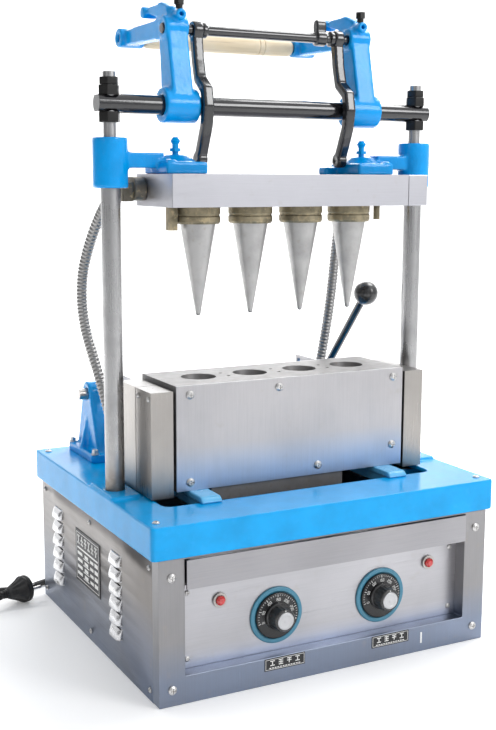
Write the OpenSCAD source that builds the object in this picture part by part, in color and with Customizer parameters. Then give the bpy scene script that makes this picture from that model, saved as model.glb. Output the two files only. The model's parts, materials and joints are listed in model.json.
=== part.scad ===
// Four-cone wafer machine with a lever press. The origin is under the middle of the cabinet,
// +X is the operator's right, +Y the back and +Z up. All sizes are in millimetres.

/* [Cabinet] */
// Width of the stainless cabinet
cab_w = 482; // [476:1:484]
// Depth of the cabinet, front to back
cab_d = 440; // [438:1:440]
// Height of the cabinet under the top plate
cab_h = 184; // [182:1:188]
// Width of the blue top plate
plate_w = 500; // [498:1:504]
// Depth of the top plate
plate_d = 446; // [444:1:446]
// Height of the top plate's rolled skirt
plate_t = 41; // [39:1:43]
// Thickness of the sheet metal
sheet = 1.5; // [1.2:0.1:2]

/* [Press] */
// Diameter of the two columns
column_d = 25; // [24:0.5:26]
// Distance of each column from the middle
column_x = 228; // [227:1:229]
// Height of the columns' shoulder
column_top = 672; // [668:1:674]
// Diameter of the crossbar that carries the lever
crossbar_d = 24; // [22:1:25]
// Crank radius from the crossbar to the top rod
crank_r = 96; // [94:1:98]
// Travel of the moulding head
head_travel = 185; // [180:1:186]

/* [Cones] */
// Number of cones baked at once
cones = 4; // [4:4]
// Distance between neighbouring cones
pitch = 76; // [74:1:76]
// Diameter of a cone at its mouth
cone_d = 46; // [44:1:47]
// Height of a cone core under its collar
cone_h = 117; // [112:1:117]
// Thickness of the baked wafer
wafer = 2.5; // [2:0.5:3]

/* [Moulds] */
// Opening travel of each half of the mould
mould_travel = 26; // [24:1:26]
// Height of the mould block
mould_h = 136; // [136:1:137]

/* [Hidden] */
$fn = 64;

eps = 0.02;                           // Gap between fitted parts of one body
run = 0.05;                           // Radial clearance of a running fit
cab_x = cab_w / 2;
cab_y = 215;                          // Front face of the cabinet is at -cab_y
cab_back = cab_d - cab_y;
plate_y = 218;                        // Front of the top plate is at -plate_y
plate_back = plate_d - plate_y;
plate_z = cab_h + plate_t;            // Top of the plate
floor_t = 2;                          // Base pan's thickness
post_w = 34;                          // Front frame's posts
rail_h = 36;                          // Front frame's bottom rail
frame_d = 19;                         // Front frame's depth
slot_top = 181;                       // Top of the tray's opening
front_x = cab_x - post_w;             // Half width of the front opening
panel_y = -cab_y + frame_d;           // Face of the control panel
dial_xs = [-73, 83];
dial_z = 83;
lamp_xs = [-152, 160];
lamp_z = 116;
col_y = -45;                          // Plane of the columns, the crossbar and the cores
bar_z = 716;                          // Axis of the crossbar
stud_d = 16;                          // Threaded necks of the columns
part_y = -56;                         // Parting plane of the moulds and axis of the cones
mould_x = 171;                        // Half length of a mould half
mould_z = 233;                        // Underside of the moulds
mould_front_y = -110.5;
mould_rear_y = -2.5;
end_in = 175;                         // End covers, inner and outer faces
end_out = 205;
end_lo = 227;
end_hi = 363;
head_lo = 590;                        // Underside of the head
head_hi = 631;
head_front = -112;
head_rear = 4;
head_x = 174;
collar_h = 22;
window_x = 200;                       // Half width of the opening in the top plate
window_front = -142;
window_rear = 28;
shaft_y = 162;                        // Shaft of the mould lever
shaft_z = 316;
shaft_d = 16;
swing = 60;                           // Swing of the mould lever
pin_d = 8;
pin_r = mould_travel / (2 * sin(swing / 2));
rod_y = col_y + crank_r * sin(7);     // Top rod, leaning back by 7 degrees at rest
rod_z = bar_z + crank_r * cos(7);
rod_d = 13;
arm_x = 136;                          // Middle of a lever arm
link_x = 105;                         // Middle of a link bar
link_t = 13;
eye_z = 650;                          // Lower eye of the links, at rest
grip_y = 114;
grip_z = 814;

// Colours
blue = [0.05, 0.52, 0.9];
steel = [0.72, 0.71, 0.7];
bright = [0.82, 0.82, 0.84];
dark = [0.12, 0.12, 0.13];
bronze = [0.52, 0.45, 0.33];

function cone_x(i) = (i - (cones - 1) / 2) * pitch;
function side(k) = k == 0 ? -1 : 1;

// A box from its lowest to its highest corner
module block(lo, hi) {
    translate(lo)
        cube([hi[0] - lo[0], hi[1] - lo[1], hi[2] - lo[2]]);
}

// A cylinder along X, from its middle
module rod_x(at, d, l, sides = 64) {
    translate(at)
        rotate([0, 90, 0])
            cylinder(d = d, h = l, center = true, $fn = sides);
}

// A cylinder along Y, running back from its front face
module rod_back(at, d, l, sides = 64) {
    translate(at)
        rotate([-90, 0, 0])
            cylinder(d = d, h = l, $fn = sides);
}

// A domed screw head with a cross recess, its shank along -Z from the seat
module screw(d = 9, h = 2.6, shank = 0) {
    difference() {
        union() {
            cylinder(d = d, h = h * 0.45, $fn = 32);
            translate([0, 0, h * 0.45])
                cylinder(d1 = d, d2 = d * 0.6, h = h * 0.55, $fn = 32);
        }
        for (a = [0, 90])
            rotate(a)
                translate([-d * 0.3, -0.5, h * 0.4])
                    cube([d * 0.6, 1, h]);
    }
    if (shank > 0)
        translate([0, 0, -shank])
            cylinder(d = d * 0.45, h = shank, $fn = 32);
}

module on_front(at) {
    translate(at)
        rotate([90, 0, 0])
            children();
}

module on_back(at) {
    translate(at)
        rotate([-90, 0, 0])
            children();
}

// Faces outwards to the left (s = -1) or to the right (s = 1)
module on_side(at, s) {
    translate(at)
        rotate([0, s * 90, 0])
            children();
}

module on_both_sides() {
    for (k = [0, 1])
        mirror([1 - k, 0, 0])
            children();
}

// Folded stainless frame around the tray and the control panel
module front_frame() {
    color(steel)
        difference() {
            block([-cab_x, -cab_y, 0], [cab_x, panel_y, cab_h]);
            block([-front_x, -cab_y - 1, rail_h], [front_x, panel_y + 1, slot_top]);
            block([-front_x - sheet, -cab_y + sheet, sheet], [front_x + sheet, panel_y + 1, rail_h - sheet]);
            for (k = [0, 1])
                mirror([k, 0, 0])
                    block([front_x + sheet, -cab_y + sheet, sheet], [cab_x - sheet, panel_y + 1, cab_h - sheet]);
        }
}

louvre_h = 15;
louvre_l = 36;
louvre_out = 7;

// Outline of a pressed louvre's hood, from its root to its open lower lip
function hood(out, h) = concat(
    [for (a = [0:15:90]) [out * sin(a), h / 2 - h * (1 - cos(a)) * 0.9]],
    [[out, -h / 2], [0, -h / 2]]
);

module louvre() {
    rotate([90, 0, 0])
        linear_extrude(height = louvre_l, center = true)
            polygon(hood(louvre_out, louvre_h));
}

module louvre_hollow() {
    translate([-2 * sheet, 0, -1.2])
        rotate([90, 0, 0])
            linear_extrude(height = louvre_l - 3, center = true)
                polygon(hood(louvre_out + sheet, louvre_h - 1));
    block([-2 * sheet, -louvre_l / 2 + sheet, -louvre_h], [louvre_out - 1.2, louvre_l / 2 - sheet, -louvre_h / 2 + 1.5]);
}

module at_louvres() {
    for (y = [-78, 150])
        for (i = [0:5])
            translate([cab_x, y, 147 - 19.4 * i])
                children();
}

// Right side panel; the left one is its mirror image
module side_panel() {
    difference() {
        union() {
            block([cab_x - sheet, panel_y + eps, 0], [cab_x, cab_back, cab_h]);
            block([cab_x - 14, panel_y + eps, cab_h - sheet], [cab_x, cab_back - 2, cab_h]);
            // Angle that the tray slides on
            block([188, panel_y + 3, 142.5], [cab_x, 180, 144]);
            at_louvres()
                louvre();
        }
        at_louvres()
            louvre_hollow();
    }
}

module side_panel_left() {
    color(steel)
        mirror([1, 0, 0])
            side_panel();
}

module side_panel_right() {
    color(steel)
        side_panel();
}

module back_panel() {
    wall = cab_x - sheet - eps;
    color(steel)
        difference() {
            block([-wall, cab_back - sheet, 0], [wall, cab_back, cab_h]);
            for (i = [0:7])
                for (x = [-110, 110])
                    block([x - 45, cab_back - 5, 60 + 12 * i], [x + 45, cab_back + 1, 64 + 12 * i]);
            rod_back([gland_x, cab_back - 5, gland_z], 16.4, 10);
        }
}

module base_pan() {
    wall = cab_x - sheet - eps;
    color(steel)
        difference() {
            block([-wall, panel_y + eps, 0], [wall, cab_back - sheet - eps, 12]);
            block([-wall + 2, panel_y + 2, floor_t], [wall - 2, cab_back - 4, 13]);
            for (x = [-150, -50, 50, 150])
                for (y = [-100, 60])
                    translate([x, y, -1])
                        cylinder(r = 6, h = 4);
        }
}

module control_panel() {
    wall = cab_x - 4;
    color(bright)
        difference() {
            block([-wall, panel_y + eps, 13], [wall, panel_y + eps + sheet, 142]);
            for (x = dial_xs)
                rod_back([x, panel_y - 1, dial_z], 10, 5);
            for (x = lamp_xs)
                rod_back([x, panel_y - 1, lamp_z], 12.4, 5);
        }
}

tray_lo = 144.3;
tray_hi = 178;
tray_rear = 150;

module cone_tray() {
    color(steel)
        difference() {
            union() {
                block([-front_x + 1.5, -cab_y - 3.5, 144.5], [front_x - 1.5, -cab_y - 0.5, 180.5]);
                block([-198, -cab_y - 0.5, tray_lo], [198, tray_rear, tray_hi]);
            }
            block([-198 + sheet, -cab_y + 1, tray_lo + sheet], [198 - sheet, tray_rear - sheet, tray_hi + 3]);
        }
}

// Screws of the front, the control panel, the sides, the back and the top plate
module cabinet_screws() {
    color(bright) {
        for (x = [-224, 224])
            for (z = [21, 161])
                on_front([x, -cab_y, z])
                    screw(11, 3.2);
        for (x = [-196, 196])
            for (z = [48, 132])
                on_front([x, panel_y, z])
                    screw(7, 2);
        for (k = [0, 1])
            for (p = [[-188, 168], [20, 168], [212, 168], [20, 14], [-188, 14], [212, 14]])
                on_side([side(k) * cab_x, p[0], p[1]], side(k))
                    screw(7, 2.4);
        for (x = [-225, 225])
            for (z = [20, 100, 168])
                on_back([x, cab_back, z])
                    screw(7, 2.4);
        for (x = [-236, 236])
            for (y = [-198, 208])
                translate([x, y, plate_z])
                    screw(9, 2.4);
        for (k = [0, 1])
            for (y = [112, 206])
                translate([side(k) * (ped_out + 6), y, plate_z + 12])
                    bolt_head(8, 5);
        for (p = [[-189, 50], [112, 60]])
            translate([p[0], p[1], 0])
                hex_nut(plate_z, 24, conduit_d + 1.6, 9);
    }
}

module dial_bezels() {
    color([0.2, 0.5, 0.58])
        for (x = dial_xs)
            difference() {
                rod_back([x, panel_y - 3, dial_z], 74, 3);
                rod_back([x, panel_y - 4, dial_z], 62, 2.5);
                rod_back([x, panel_y - 4, dial_z], 10, 5);
            }
}

// Scale disc, knob and cap of a thermostat, with the spindle that turns it
module dial(x) {
    color(dark) {
        rod_back([x, panel_y - 5.5, dial_z], 60, 3.5);
        translate([x, panel_y - 5.5, dial_z])
            rotate([90, 0, 0])
                cylinder(d1 = 35, d2 = 29, h = 20);
        rod_back([x, panel_y - 2, dial_z], 6, 12);
    }
    color(bright)
        rod_back([x, panel_y - 27, dial_z], 23, 1.5);
}

module dial_left() {
    dial(dial_xs[0]);
}

module dial_right() {
    dial(dial_xs[1]);
}

module lamp_bezels() {
    color(bright)
        for (x = lamp_xs)
            difference() {
                rod_back([x, panel_y - 3, lamp_z], 19, 3);
                rod_back([x, panel_y - 4, lamp_z], 12 + 2 * eps, 5);
            }
}

module lamp_lenses() {
    color([0.8, 0.05, 0.05])
        for (x = lamp_xs) {
            rod_back([x, panel_y - 5, lamp_z], 12, 22);
            translate([x, panel_y - 5, lamp_z])
                rotate([90, 0, 0])
                    cylinder(d1 = 12, d2 = 7, h = 2.5);
        }
}

// Capillary thermostats behind the panel
module thermostats() {
    back = panel_y + sheet + 2 * eps;
    color([0.85, 0.85, 0.8])
        for (x = dial_xs)
            difference() {
                union() {
                    block([x - 24, back, dial_z - 20], [x + 24, back + 34, dial_z + 20]);
                    for (dx = [-14, 14])
                        rod_back([x + dx, back + 34, dial_z + 10], 7, 8);
                }
                rod_back([x, back - 1, dial_z], 6 + 2 * run, 15);
            }
}

module terminal_block() {
    color([0.9, 0.88, 0.8])
        for (i = [0:5])
            difference() {
                block([120 + 14 * i, 150, floor_t], [133 + 14 * i, 178, 22]);
                translate([126.5 + 14 * i, 164, 12])
                    cylinder(r = 3.5, h = 11);
            }
}

module front_labels() {
    color(dark)
        for (x = [-70, 89])
            block([x - 29, -cab_y - 0.6, 19], [x + 29, -cab_y, 35]);
}

module nameplate() {
    color(dark)
        block([-cab_x - 0.8, -19, 72], [-cab_x, 76, 146]);
}

// A slab with upright rounded corners
module slab(lo, hi, r) {
    for (x = [lo[0] + r, hi[0] - r])
        for (y = [lo[1] + r, hi[1] - r])
            translate([x, y, lo[2]])
                cylinder(r = r, h = hi[2] - lo[2], $fn = 32);
    block([lo[0] + r, lo[1], lo[2]], [hi[0] - r, hi[1], hi[2]]);
    block([lo[0], lo[1] + r, lo[2]], [hi[0], hi[1] - r, hi[2]]);
}

// Extrudes a (y, z) outline between two places on X
module across(x0, x1) {
    translate([x0, 0, 0])
        rotate([90, 0, 90])
            linear_extrude(height = x1 - x0)
                children();
}

deck = 6;
pad_h = 4;

module top_plate() {
    color(blue)
        difference() {
            union() {
                slab([-plate_w / 2, -plate_y, cab_h], [plate_w / 2, plate_back, plate_z], 5);
                for (k = [0, 1])
                    mirror([k, 0, 0])
                        slab([208, -88, plate_z - 1], [248, -2, plate_z + pad_h], 6);
            }
            block([-232, -205, cab_h - 1], [232, 215, plate_z - deck]);
            block([-248, col_y - 26, cab_h - 1], [248, col_y + 26, plate_z - deck]);
            slab([-window_x, window_front, cab_h], [window_x, window_rear, plate_z + 1], 12);
            for (x = [-column_x, column_x])
                translate([x, col_y, cab_h])
                    cylinder(d = column_d + 2 * eps, h = 60);
        }
}

module columns() {
    color(bright)
        for (x = [-column_x, column_x])
            translate([x, col_y, 0]) {
                translate([0, 0, 205])
                    cylinder(d = column_d, h = column_top - 205 - 2);
                translate([0, 0, column_top - 2])
                    cylinder(d1 = column_d, d2 = column_d - 4, h = 2);
                translate([0, 0, column_top])
                    cylinder(d = stud_d, h = 754 - column_top);
            }
}

flat_z = 10;                          // Half height of the crossbar's flattened ends

module crossbar() {
    color(dark)
        difference() {
            rod_x([0, col_y, bar_z], crossbar_d, 490);
            for (x = [-column_x, column_x])
                translate([x, col_y, bar_z - 20])
                    cylinder(d = stud_d + 2 * eps, h = 40);
            for (k = [0, 1])
                mirror([k, 0, 0])
                    for (z = [bar_z - flat_z - 10, bar_z + flat_z])
                        block([column_x - 16, col_y - 20, z], [260, col_y + 20, z + 10]);
        }
}

module hex_nut(z, across_flats, bore, h) {
    difference() {
        translate([0, 0, z])
            cylinder(d = across_flats / cos(30), h = h, $fn = 6);
        translate([0, 0, z - 1])
            cylinder(d = bore + 2 * eps, h = h + 2);
    }
}

module column_nuts() {
    color(dark)
        for (x = [-column_x, column_x])
            translate([x, col_y, 0]) {
                rotate(30)
                    hex_nut(plate_z - deck - 11, 36, column_d, 11);
                hex_nut(bar_z - flat_z - 13, 24, stud_d, 13);
                hex_nut(bar_z + flat_z, 24, stud_d, 12);
                hex_nut(bar_z + flat_z + 12.5, 22, stud_d, 9);
            }
}

// Two ways across the window, that the mould halves slide on
module mould_rails() {
    top = mould_z - 0.1;
    color(blue)
        for (x = [-140, 140]) {
            across(x - 14, x + 14)
                polygon([[-152, plate_z], [-152, 228], [-146, top], [90, top], [90, plate_z]]);
            block([x - 9, window_front, plate_z - 14], [x + 9, window_rear, plate_z]);
        }
}

ped_in = 172;
ped_out = 192;

module shaft_pedestals() {
    color(blue)
        for (k = [0, 1])
            mirror([k, 0, 0])
                difference() {
                    union() {
                        slab([ped_in - 8, 106, plate_z], [ped_out + 12, 212, plate_z + 12], 5);
                        across(ped_in, ped_out)
                            polygon([[118, plate_z + 11], [204, plate_z + 11], [179, shaft_z], [145, shaft_z]]);
                        rod_x([(ped_in + ped_out) / 2, shaft_y, shaft_z], 36, ped_out - ped_in);
                        translate([ped_out - 1, shaft_y + 5, plate_z + 11])
                            rotate([90, 0, 0])
                                linear_extrude(height = 10)
                                    polygon([[0, 0], [12, 0], [1, 46], [0, 46]]);
                    }
                    rod_x([180, shaft_y, shaft_z], shaft_d + 2 * run, 60);
                }
}

// A hexagon bolt head with its washer, on a seat facing up
module bolt_head(af = 13, h = 7) {
    cylinder(d = af * 1.5, h = 1.5, $fn = 32);
    translate([0, 0, 1.5])
        cylinder(d = af / cos(30), h = h, $fn = 6);
    translate([0, 0, 1.5 + h])
        cylinder(d1 = af * 0.9, d2 = af * 0.7, h = 1);
}

module head_block() {
    color([0.6, 0.6, 0.6])
        difference() {
            block([-170, -109, head_lo], [170, 1, head_hi - sheet - eps]);
            for (y = [-88, -22])
                rod_x([0, y, 611], 12 + 2 * eps, 400);
            for (i = [0:cones - 1])
                translate([cone_x(i), part_y, head_lo - 1])
                    cylinder(d = 18 + 2 * eps, h = 21);
        }
}

module head_cover() {
    color(bright)
        difference() {
            block([-head_x, head_front, head_lo], [head_x, head_rear, head_hi]);
            block([-head_x + sheet, head_front + sheet, head_lo - 1], [head_x - sheet, head_rear - sheet, head_hi - sheet]);
            for (y = [-88, -22])
                rod_x([head_x, y, 611], 14, 10);
        }
}

module terminal_cover() {
    color(bright)
        difference() {
            block([head_x + eps, head_front, head_lo], [end_out, head_rear, head_hi]);
            block([head_x - 1, head_front + sheet, head_lo + sheet], [end_out - sheet, head_rear - sheet, head_hi - sheet]);
        }
}

module head_heaters() {
    color(steel)
        for (y = [-88, -22]) {
            rod_x([8, y, 611], 12, 350);
            rod_x([188, y, 611], 5, 10);
        }
}

// Cone cores with the spigots and studs that hold them in the head
module cone_cores() {
    base = head_lo - collar_h;
    color(bright)
        for (i = [0:cones - 1])
            translate([cone_x(i), part_y, 0]) {
                translate([0, 0, base - cone_h])
                    cylinder(d1 = 6, d2 = cone_d, h = cone_h);
                translate([0, 0, base - cone_h - 1.5])
                    cylinder(d1 = 3, d2 = 6, h = 1.5);
                translate([0, 0, base])
                    cylinder(d = 40, h = collar_h - eps);
                translate([0, 0, base])
                    cylinder(d = 18, h = collar_h + 18);
            }
}

module core_collars() {
    color(bronze)
        for (i = [0:cones - 1])
            translate([cone_x(i), part_y, head_lo - collar_h])
                rotate_extrude()
                    polygon([
                        [20 + eps, 0], [27, 0], [29, 2.5], [29, 9], [28, 10], [28, 12], [29, 13],
                        [29, collar_h], [20 + eps, collar_h]
                    ]);
}

module stop_pins() {
    color(bronze) {
        block([-156, part_y - 6, head_lo - 30], [-145, part_y + 6, head_lo]);
        translate([160, part_y, head_lo - 20])
            cylinder(d = 9, h = 20);
    }
}

module wire_box() {
    color(dark) {
        rod_x([-182, -20, 612], 30, 15.9);
        block([-189.9, -20, 597], [-head_x - 0.1, head_rear, 627]);
    }
    color(bronze) {
        block([-204, -24, 596], [-190, head_rear + 2, 620]);
        difference() {
            rod_back([160, head_rear + eps, 606], 23, 7, 6);
            rod_back([160, head_rear - 1, 606], conduit_d + 2.4, 20);
        }
    }
}

sleeve_lo = 613;
sleeve_hi = 675;
bush_d = 31;

// Castings that join the head to the sleeves on the columns
module head_brackets() {
    color(blue)
        for (k = [0, 1])
            mirror([k, 0, 0])
                difference() {
                    union() {
                        translate([column_x, col_y, sleeve_lo])
                            cylinder(d = 44, h = sleeve_hi - sleeve_lo);
                        block([160, col_y - 11, 638], [column_x, col_y + 11, 657]);
                        block([112, -84, head_hi], [168, -10, 646]);
                        translate([140, col_y, 646])
                            cylinder(d1 = 54, d2 = 30, h = 9);
                        block([92, -30, head_hi], [112, -10, 641]);
                        for (y = [-76, -18])
                            translate([160, y, 646])
                                cylinder(d = 12, h = 3);
                    }
                    translate([column_x, col_y, sleeve_lo - 1])
                        cylinder(d = bush_d + 2 * eps, h = 70);
                }
}

module guide_bushes() {
    color([0.75, 0.6, 0.3])
        for (x = [-column_x, column_x])
            for (z = [sleeve_lo, sleeve_hi - 24])
                translate([x, col_y, z])
                    difference() {
                        cylinder(d = bush_d, h = 24 - (z > sleeve_lo ? 4 : 0));
                        translate([0, 0, -1])
                            cylinder(d = column_d + 2 * run, h = 30);
                    }
}

module oilers() {
    color(blue)
        for (x = [-140, 140])
            translate([x, col_y, 655]) {
                cylinder(d = 8, h = 17);
                translate([0, 0, 4])
                    cylinder(d = 15, h = 4, $fn = 6);
                translate([0, 0, 13])
                    cylinder(d1 = 8, d2 = 13, h = 4);
                translate([0, 0, 17])
                    cylinder(d1 = 13, d2 = 6, h = 5);
            }
}

// Two castings that turn on the crossbar; each has an upright, a horn and a clamping boss
module lever_arm() {
    in = 113;
    out = 159;
    difference() {
        union() {
            rod_x([arm_x, col_y, bar_z], 44, out - in);
            across(122, 150)
                polygon([
                    [col_y - 20, bar_z + 6], [col_y + 20, bar_z + 6],
                    [rod_y + 15, rod_z - 14], [rod_y + 13, rod_z + 6],
                    [rod_y - 12, rod_z + 6], [rod_y - 14, rod_z - 10]
                ]);
            rod_x([arm_x, rod_y, rod_z + 2], 28, 32);
            across(126, 146)
                polygon([
                    [rod_y, rod_z - 15], [rod_y, rod_z + 15], [rod_y + 40, rod_z + 14],
                    [grip_y, grip_z + 10], [grip_y, grip_z - 10], [rod_y + 45, rod_z - 9]
                ]);
            rod_x([arm_x, grip_y, grip_z], 26, 36);
            across(130, 144)
                polygon([
                    [rod_y - 4, rod_z], [rod_y + 2, rod_z + 27], [rod_y + 22, rod_z + 35],
                    [rod_y + 60, rod_z + 34], [rod_y + 76, rod_z + 28], [rod_y + 50, rod_z + 21],
                    [rod_y + 32, rod_z + 16], [rod_y + 20, rod_z]
                ]);
            rod_x([arm_x + 1, rod_y + 76, rod_z + 28], 15, 22);
            rod_back([arm_x - 2, rod_y - 22, rod_z + 16], 14, 20);
        }
        rod_x([arm_x, col_y, bar_z], crossbar_d + 2 * run, 60);
        rod_x([arm_x, rod_y, rod_z], rod_d + 2 * eps, 60);
        rod_x([arm_x, grip_y, grip_z], 11 + 2 * eps, 60);
        rod_back([arm_x - 2, rod_y - 23, rod_z + 16], 6, 12);
    }
}

module lever_arms() {
    color(blue)
        on_both_sides()
            lever_arm();
}

// Clamping screws on the arms, above the top rod
module arm_bolts() {
    color(dark)
        on_both_sides() {
            translate([arm_x - 2, rod_y - 13, rod_z + 23 + eps])
                cylinder(d = 9, h = 5);
            translate([arm_x - 2, rod_y - 13, rod_z + 28])
                cylinder(d = 14, h = 8, $fn = 6);
        }
}

module top_rod() {
    color(dark) {
        rod_x([0, rod_y, rod_z], rod_d, 306);
        for (k = [0, 1])
            mirror([k, 0, 0])
                rod_x([95, rod_y, rod_z], 20, 6);
        rod_x([78, rod_y, rod_z], 20, 14);
        block([71, rod_y - 6, rod_z], [85, rod_y + 6, rod_z + 18]);
        rod_x([78, rod_y, rod_z + 18], 12, 14);
    }
}

module handle_bar() {
    color(steel)
        rod_x([0, grip_y, grip_z], 11, 300);
}

module wooden_grip() {
    color([0.86, 0.76, 0.6])
        difference() {
            union() {
                rod_x([0, grip_y, grip_z], 25, 220);
                for (k = [0, 1])
                    mirror([k, 0, 0])
                        translate([110, grip_y, grip_z])
                            rotate([0, 90, 0])
                                cylinder(d1 = 25, d2 = 19, h = 6);
            }
            rod_x([0, grip_y, grip_z], 11 + 2 * eps, 300);
        }
}

function unit(v) = v / norm(v);
function leg(p, i) = unit(p[i + 1] - p[i]);
function left_of(v) = [-v[1], v[0]];

// Sideways step at one corner of a path, long enough to keep both legs' width
function mitre(p, i) =
    let (a = leg(p, max(i - 1, 0)), b = leg(p, min(i, len(p) - 2)), n = unit(left_of(a + b)))
        n / (n * left_of(b));

// Outline of a band of width w along a path
function band(p, w) = concat(
    [for (i = [0:len(p) - 1]) p[i] + mitre(p, i) * w / 2],
    [for (i = [len(p) - 1:-1:0]) p[i] - mitre(p, i) * w / 2]
);

// The links run down in front of the crossbar
link_path = [
    [rod_y, rod_z], [rod_y - 5, 775], [rod_y - 12, 750], [-64, 736], [-68, 716], [-64, 692], [-45, eye_z]
];

module link_bars() {
    color(dark)
        for (k = [0, 1])
            mirror([k, 0, 0])
                difference() {
                    union() {
                        across(link_x - link_t / 2, link_x + link_t / 2)
                            polygon(band(link_path, 12));
                        rod_x([link_x, rod_y, rod_z], 22, link_t);
                        rod_x([link_x, -45, eye_z], 19, link_t);
                    }
                    rod_x([link_x, rod_y, rod_z], rod_d + 2 * run, 40);
                    rod_x([link_x - link_t / 2, -45, eye_z], 7, 3);
                }
}

// Push rods of the front half, which run through the rear half to the cranks
push_x = 149;
push_d = 10;
push_root = part_y - 12;
push_z = shaft_z - (pin_r + pin_r * cos(swing / 2)) / 2;

// Half of the mould block, cut at the parting plane
module mould_half(rear) {
    y0 = rear ? part_y + 0.1 : mould_front_y;
    y1 = rear ? mould_rear_y : part_y - 0.1;
    heater_y = rear ? -18 : -95;
    tip_z = head_lo - collar_h - cone_h - head_travel;
    top = mould_z + mould_h;
    taper = (cone_d - 6) / 2 / cone_h;
    color([0.6, 0.59, 0.57])
        difference() {
            union() {
                block([-mould_x, y0, mould_z], [mould_x, y1, top]);
                // Foot of the front half, seen through the window
                if (!rear)
                    block([-120, y0 + 3, mould_z - 19], [78, part_y - 5, mould_z + 1]);
            }
            for (i = [0:cones - 1])
                translate([cone_x(i), part_y, tip_z - wafer])
                    cylinder(r1 = 3, r2 = 3 + wafer + taper * (top - tip_z), h = top - tip_z + wafer);
            for (z = [262, 340])
                rod_x([0, heater_y, z], 12 + 2 * eps, 400);
            for (x = [-push_x, push_x])
                rod_back([x, rear ? part_y - 5 : push_root, push_z], rear ? push_d + 0.6 : push_d + 2 * eps, 60);
            for (i = [0:cones - 2])
                translate([cone_x(i) + pitch / 2, part_y + (rear ? 12 : -12), top - 10])
                    cylinder(d = 5, h = 20);
        }
}

module mould_front() {
    mould_half(false);
}

module mould_rear() {
    mould_half(true);
}

cover_z = mould_z + mould_h;

module mould_front_cover() {
    color(bright)
        block([-mould_x, mould_front_y - 2, mould_z], [mould_x, mould_front_y - eps, cover_z]);
}

// Slotted yoke in the (y, z) plane, reaching from y0 to the slot around y1
module yoke(y0, y1, z0, z1, slot_lo, slot_hi) {
    slot = pin_d + 1;
    difference() {
        translate([y0, z0])
            square([y1 + slot / 2 + 5 - y0, z1 - z0]);
        translate([y1 - slot / 2, slot_lo])
            square([slot, slot_hi - slot_lo]);
    }
}

pin_out = mould_travel / 2;           // The crank pins swing this far each way
pin_lo = pin_r * cos(swing / 2);      // and stand this high at the ends of the swing

module mould_rear_cover() {
    mid = shaft_z + (pin_r + pin_lo) / 2;
    reach = (pin_r - pin_lo + pin_d + 1) / 2;
    color(bright) {
        difference() {
            block([-mould_x, mould_rear_y + eps, mould_z], [mould_x, mould_rear_y + 2, cover_z]);
            for (x = [-push_x, push_x])
                rod_back([x, mould_rear_y - 1, push_z], push_d + 1, 5);
        }
        for (k = [0, 1])
            mirror([k, 0, 0])
                across(156, 162)
                    yoke(mould_rear_y + 1, shaft_y - pin_out, mid - 11, mid + 11, mid - reach, mid + reach);
    }
}

// Heater terminal box at the end of a mould half
module end_box(y0, y1) {
    difference() {
        block([end_in, y0, end_lo], [end_out, y1, end_hi]);
        block([end_in + sheet, y0 + sheet, end_lo - 1], [end_out - sheet, y1 - sheet, end_hi - sheet]);
        for (y = [-95, -18])
            for (z = [262, 340])
                rod_x([end_in, y, z], 14, 5);
    }
    for (z = [285, 320])
        rod_x([(mould_x + end_in + sheet) / 2 + eps, (y0 + y1) / 2, z], 9, end_in + sheet - mould_x);
}

module mould_front_ends() {
    reach = (pin_r - pin_lo + pin_d + 1) / 2;
    color(bright)
        for (k = [0, 1])
            mirror([k, 0, 0]) {
                end_box(-112, -62);
                rod_back([push_x, push_root + eps, push_z], push_d, 60 - push_root);
                across(push_x - 3, push_x + 3)
                    yoke(54, shaft_y + pin_out, push_z - 10, push_z + 10, push_z - reach, push_z + reach);
            }
}

module mould_rear_ends() {
    color(bright)
        for (k = [0, 1])
            mirror([k, 0, 0])
                end_box(-60.5, -5);
}

module mould_screws() {
    color(bright) {
        for (p = [[-152, 357], [-24, 357], [155, 357], [-152, 244], [36, 246], [155, 262]])
            on_front([p[0], mould_front_y - 2, p[1]])
                screw(11, 3.2);
        for (y = [-104, -70])
            on_side([-end_out, y, 354], -1)
                screw(7, 2);
    }
}

module half_heaters(y) {
    color(steel)
        for (z = [262, 340]) {
            rod_x([0, y, z], 12, 372);
            for (x = [-190, 190])
                rod_x([x, y, z], 5, 9);
        }
}

module mould_front_heaters() {
    half_heaters(-95);
}

module mould_rear_heaters() {
    half_heaters(-18);
}

module lever_shaft() {
    color(steel)
        rod_x([7, shaft_y, shaft_z], shaft_d, 422);
}

// Cranks inside each pedestal: one pair pushes the rear half, the other pair pulls the front half
module shaft_cranks() {
    color(blue)
        for (k = [0, 1])
            mirror([k, 0, 0]) {
                crank([165, 171], 1, [154.5, 166]);
                crank([137, 143], -1, [142, 153.5]);
            }
}

module crank(x, up, pin) {
    at = [shaft_y - up * pin_out, shaft_z + up * pin_lo];
    difference() {
        union() {
            across(x[0], x[1])
                polygon(band([[shaft_y, shaft_z], at], 13));
            rod_x([(x[0] + x[1]) / 2, at[0], at[1]], 15, x[1] - x[0]);
            rod_x([(x[0] + x[1]) / 2, shaft_y, shaft_z], 26, x[1] - x[0]);
            rod_x([(pin[0] + pin[1]) / 2, at[0], at[1]], pin_d, pin[1] - pin[0]);
        }
        rod_x([(x[0] + x[1]) / 2, shaft_y, shaft_z], shaft_d + 2 * eps, 30);
    }
}

lever_x = 208;
lever_lean = 40.7;                    // Forward lean of the ball lever at rest
lever_l = 185;
hub_d = 24;

module ball_lever() {
    color(dark)
        difference() {
            union() {
                rod_x([lever_x + 1, shaft_y, shaft_z], hub_d, 15);
                translate([lever_x + 1, shaft_y, shaft_z])
                    rotate([lever_lean, 0, 0])
                        cylinder(d = 12, h = lever_l - 12);
            }
            rod_x([lever_x, shaft_y, shaft_z], shaft_d + 2 * eps, 40);
        }
}

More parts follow.
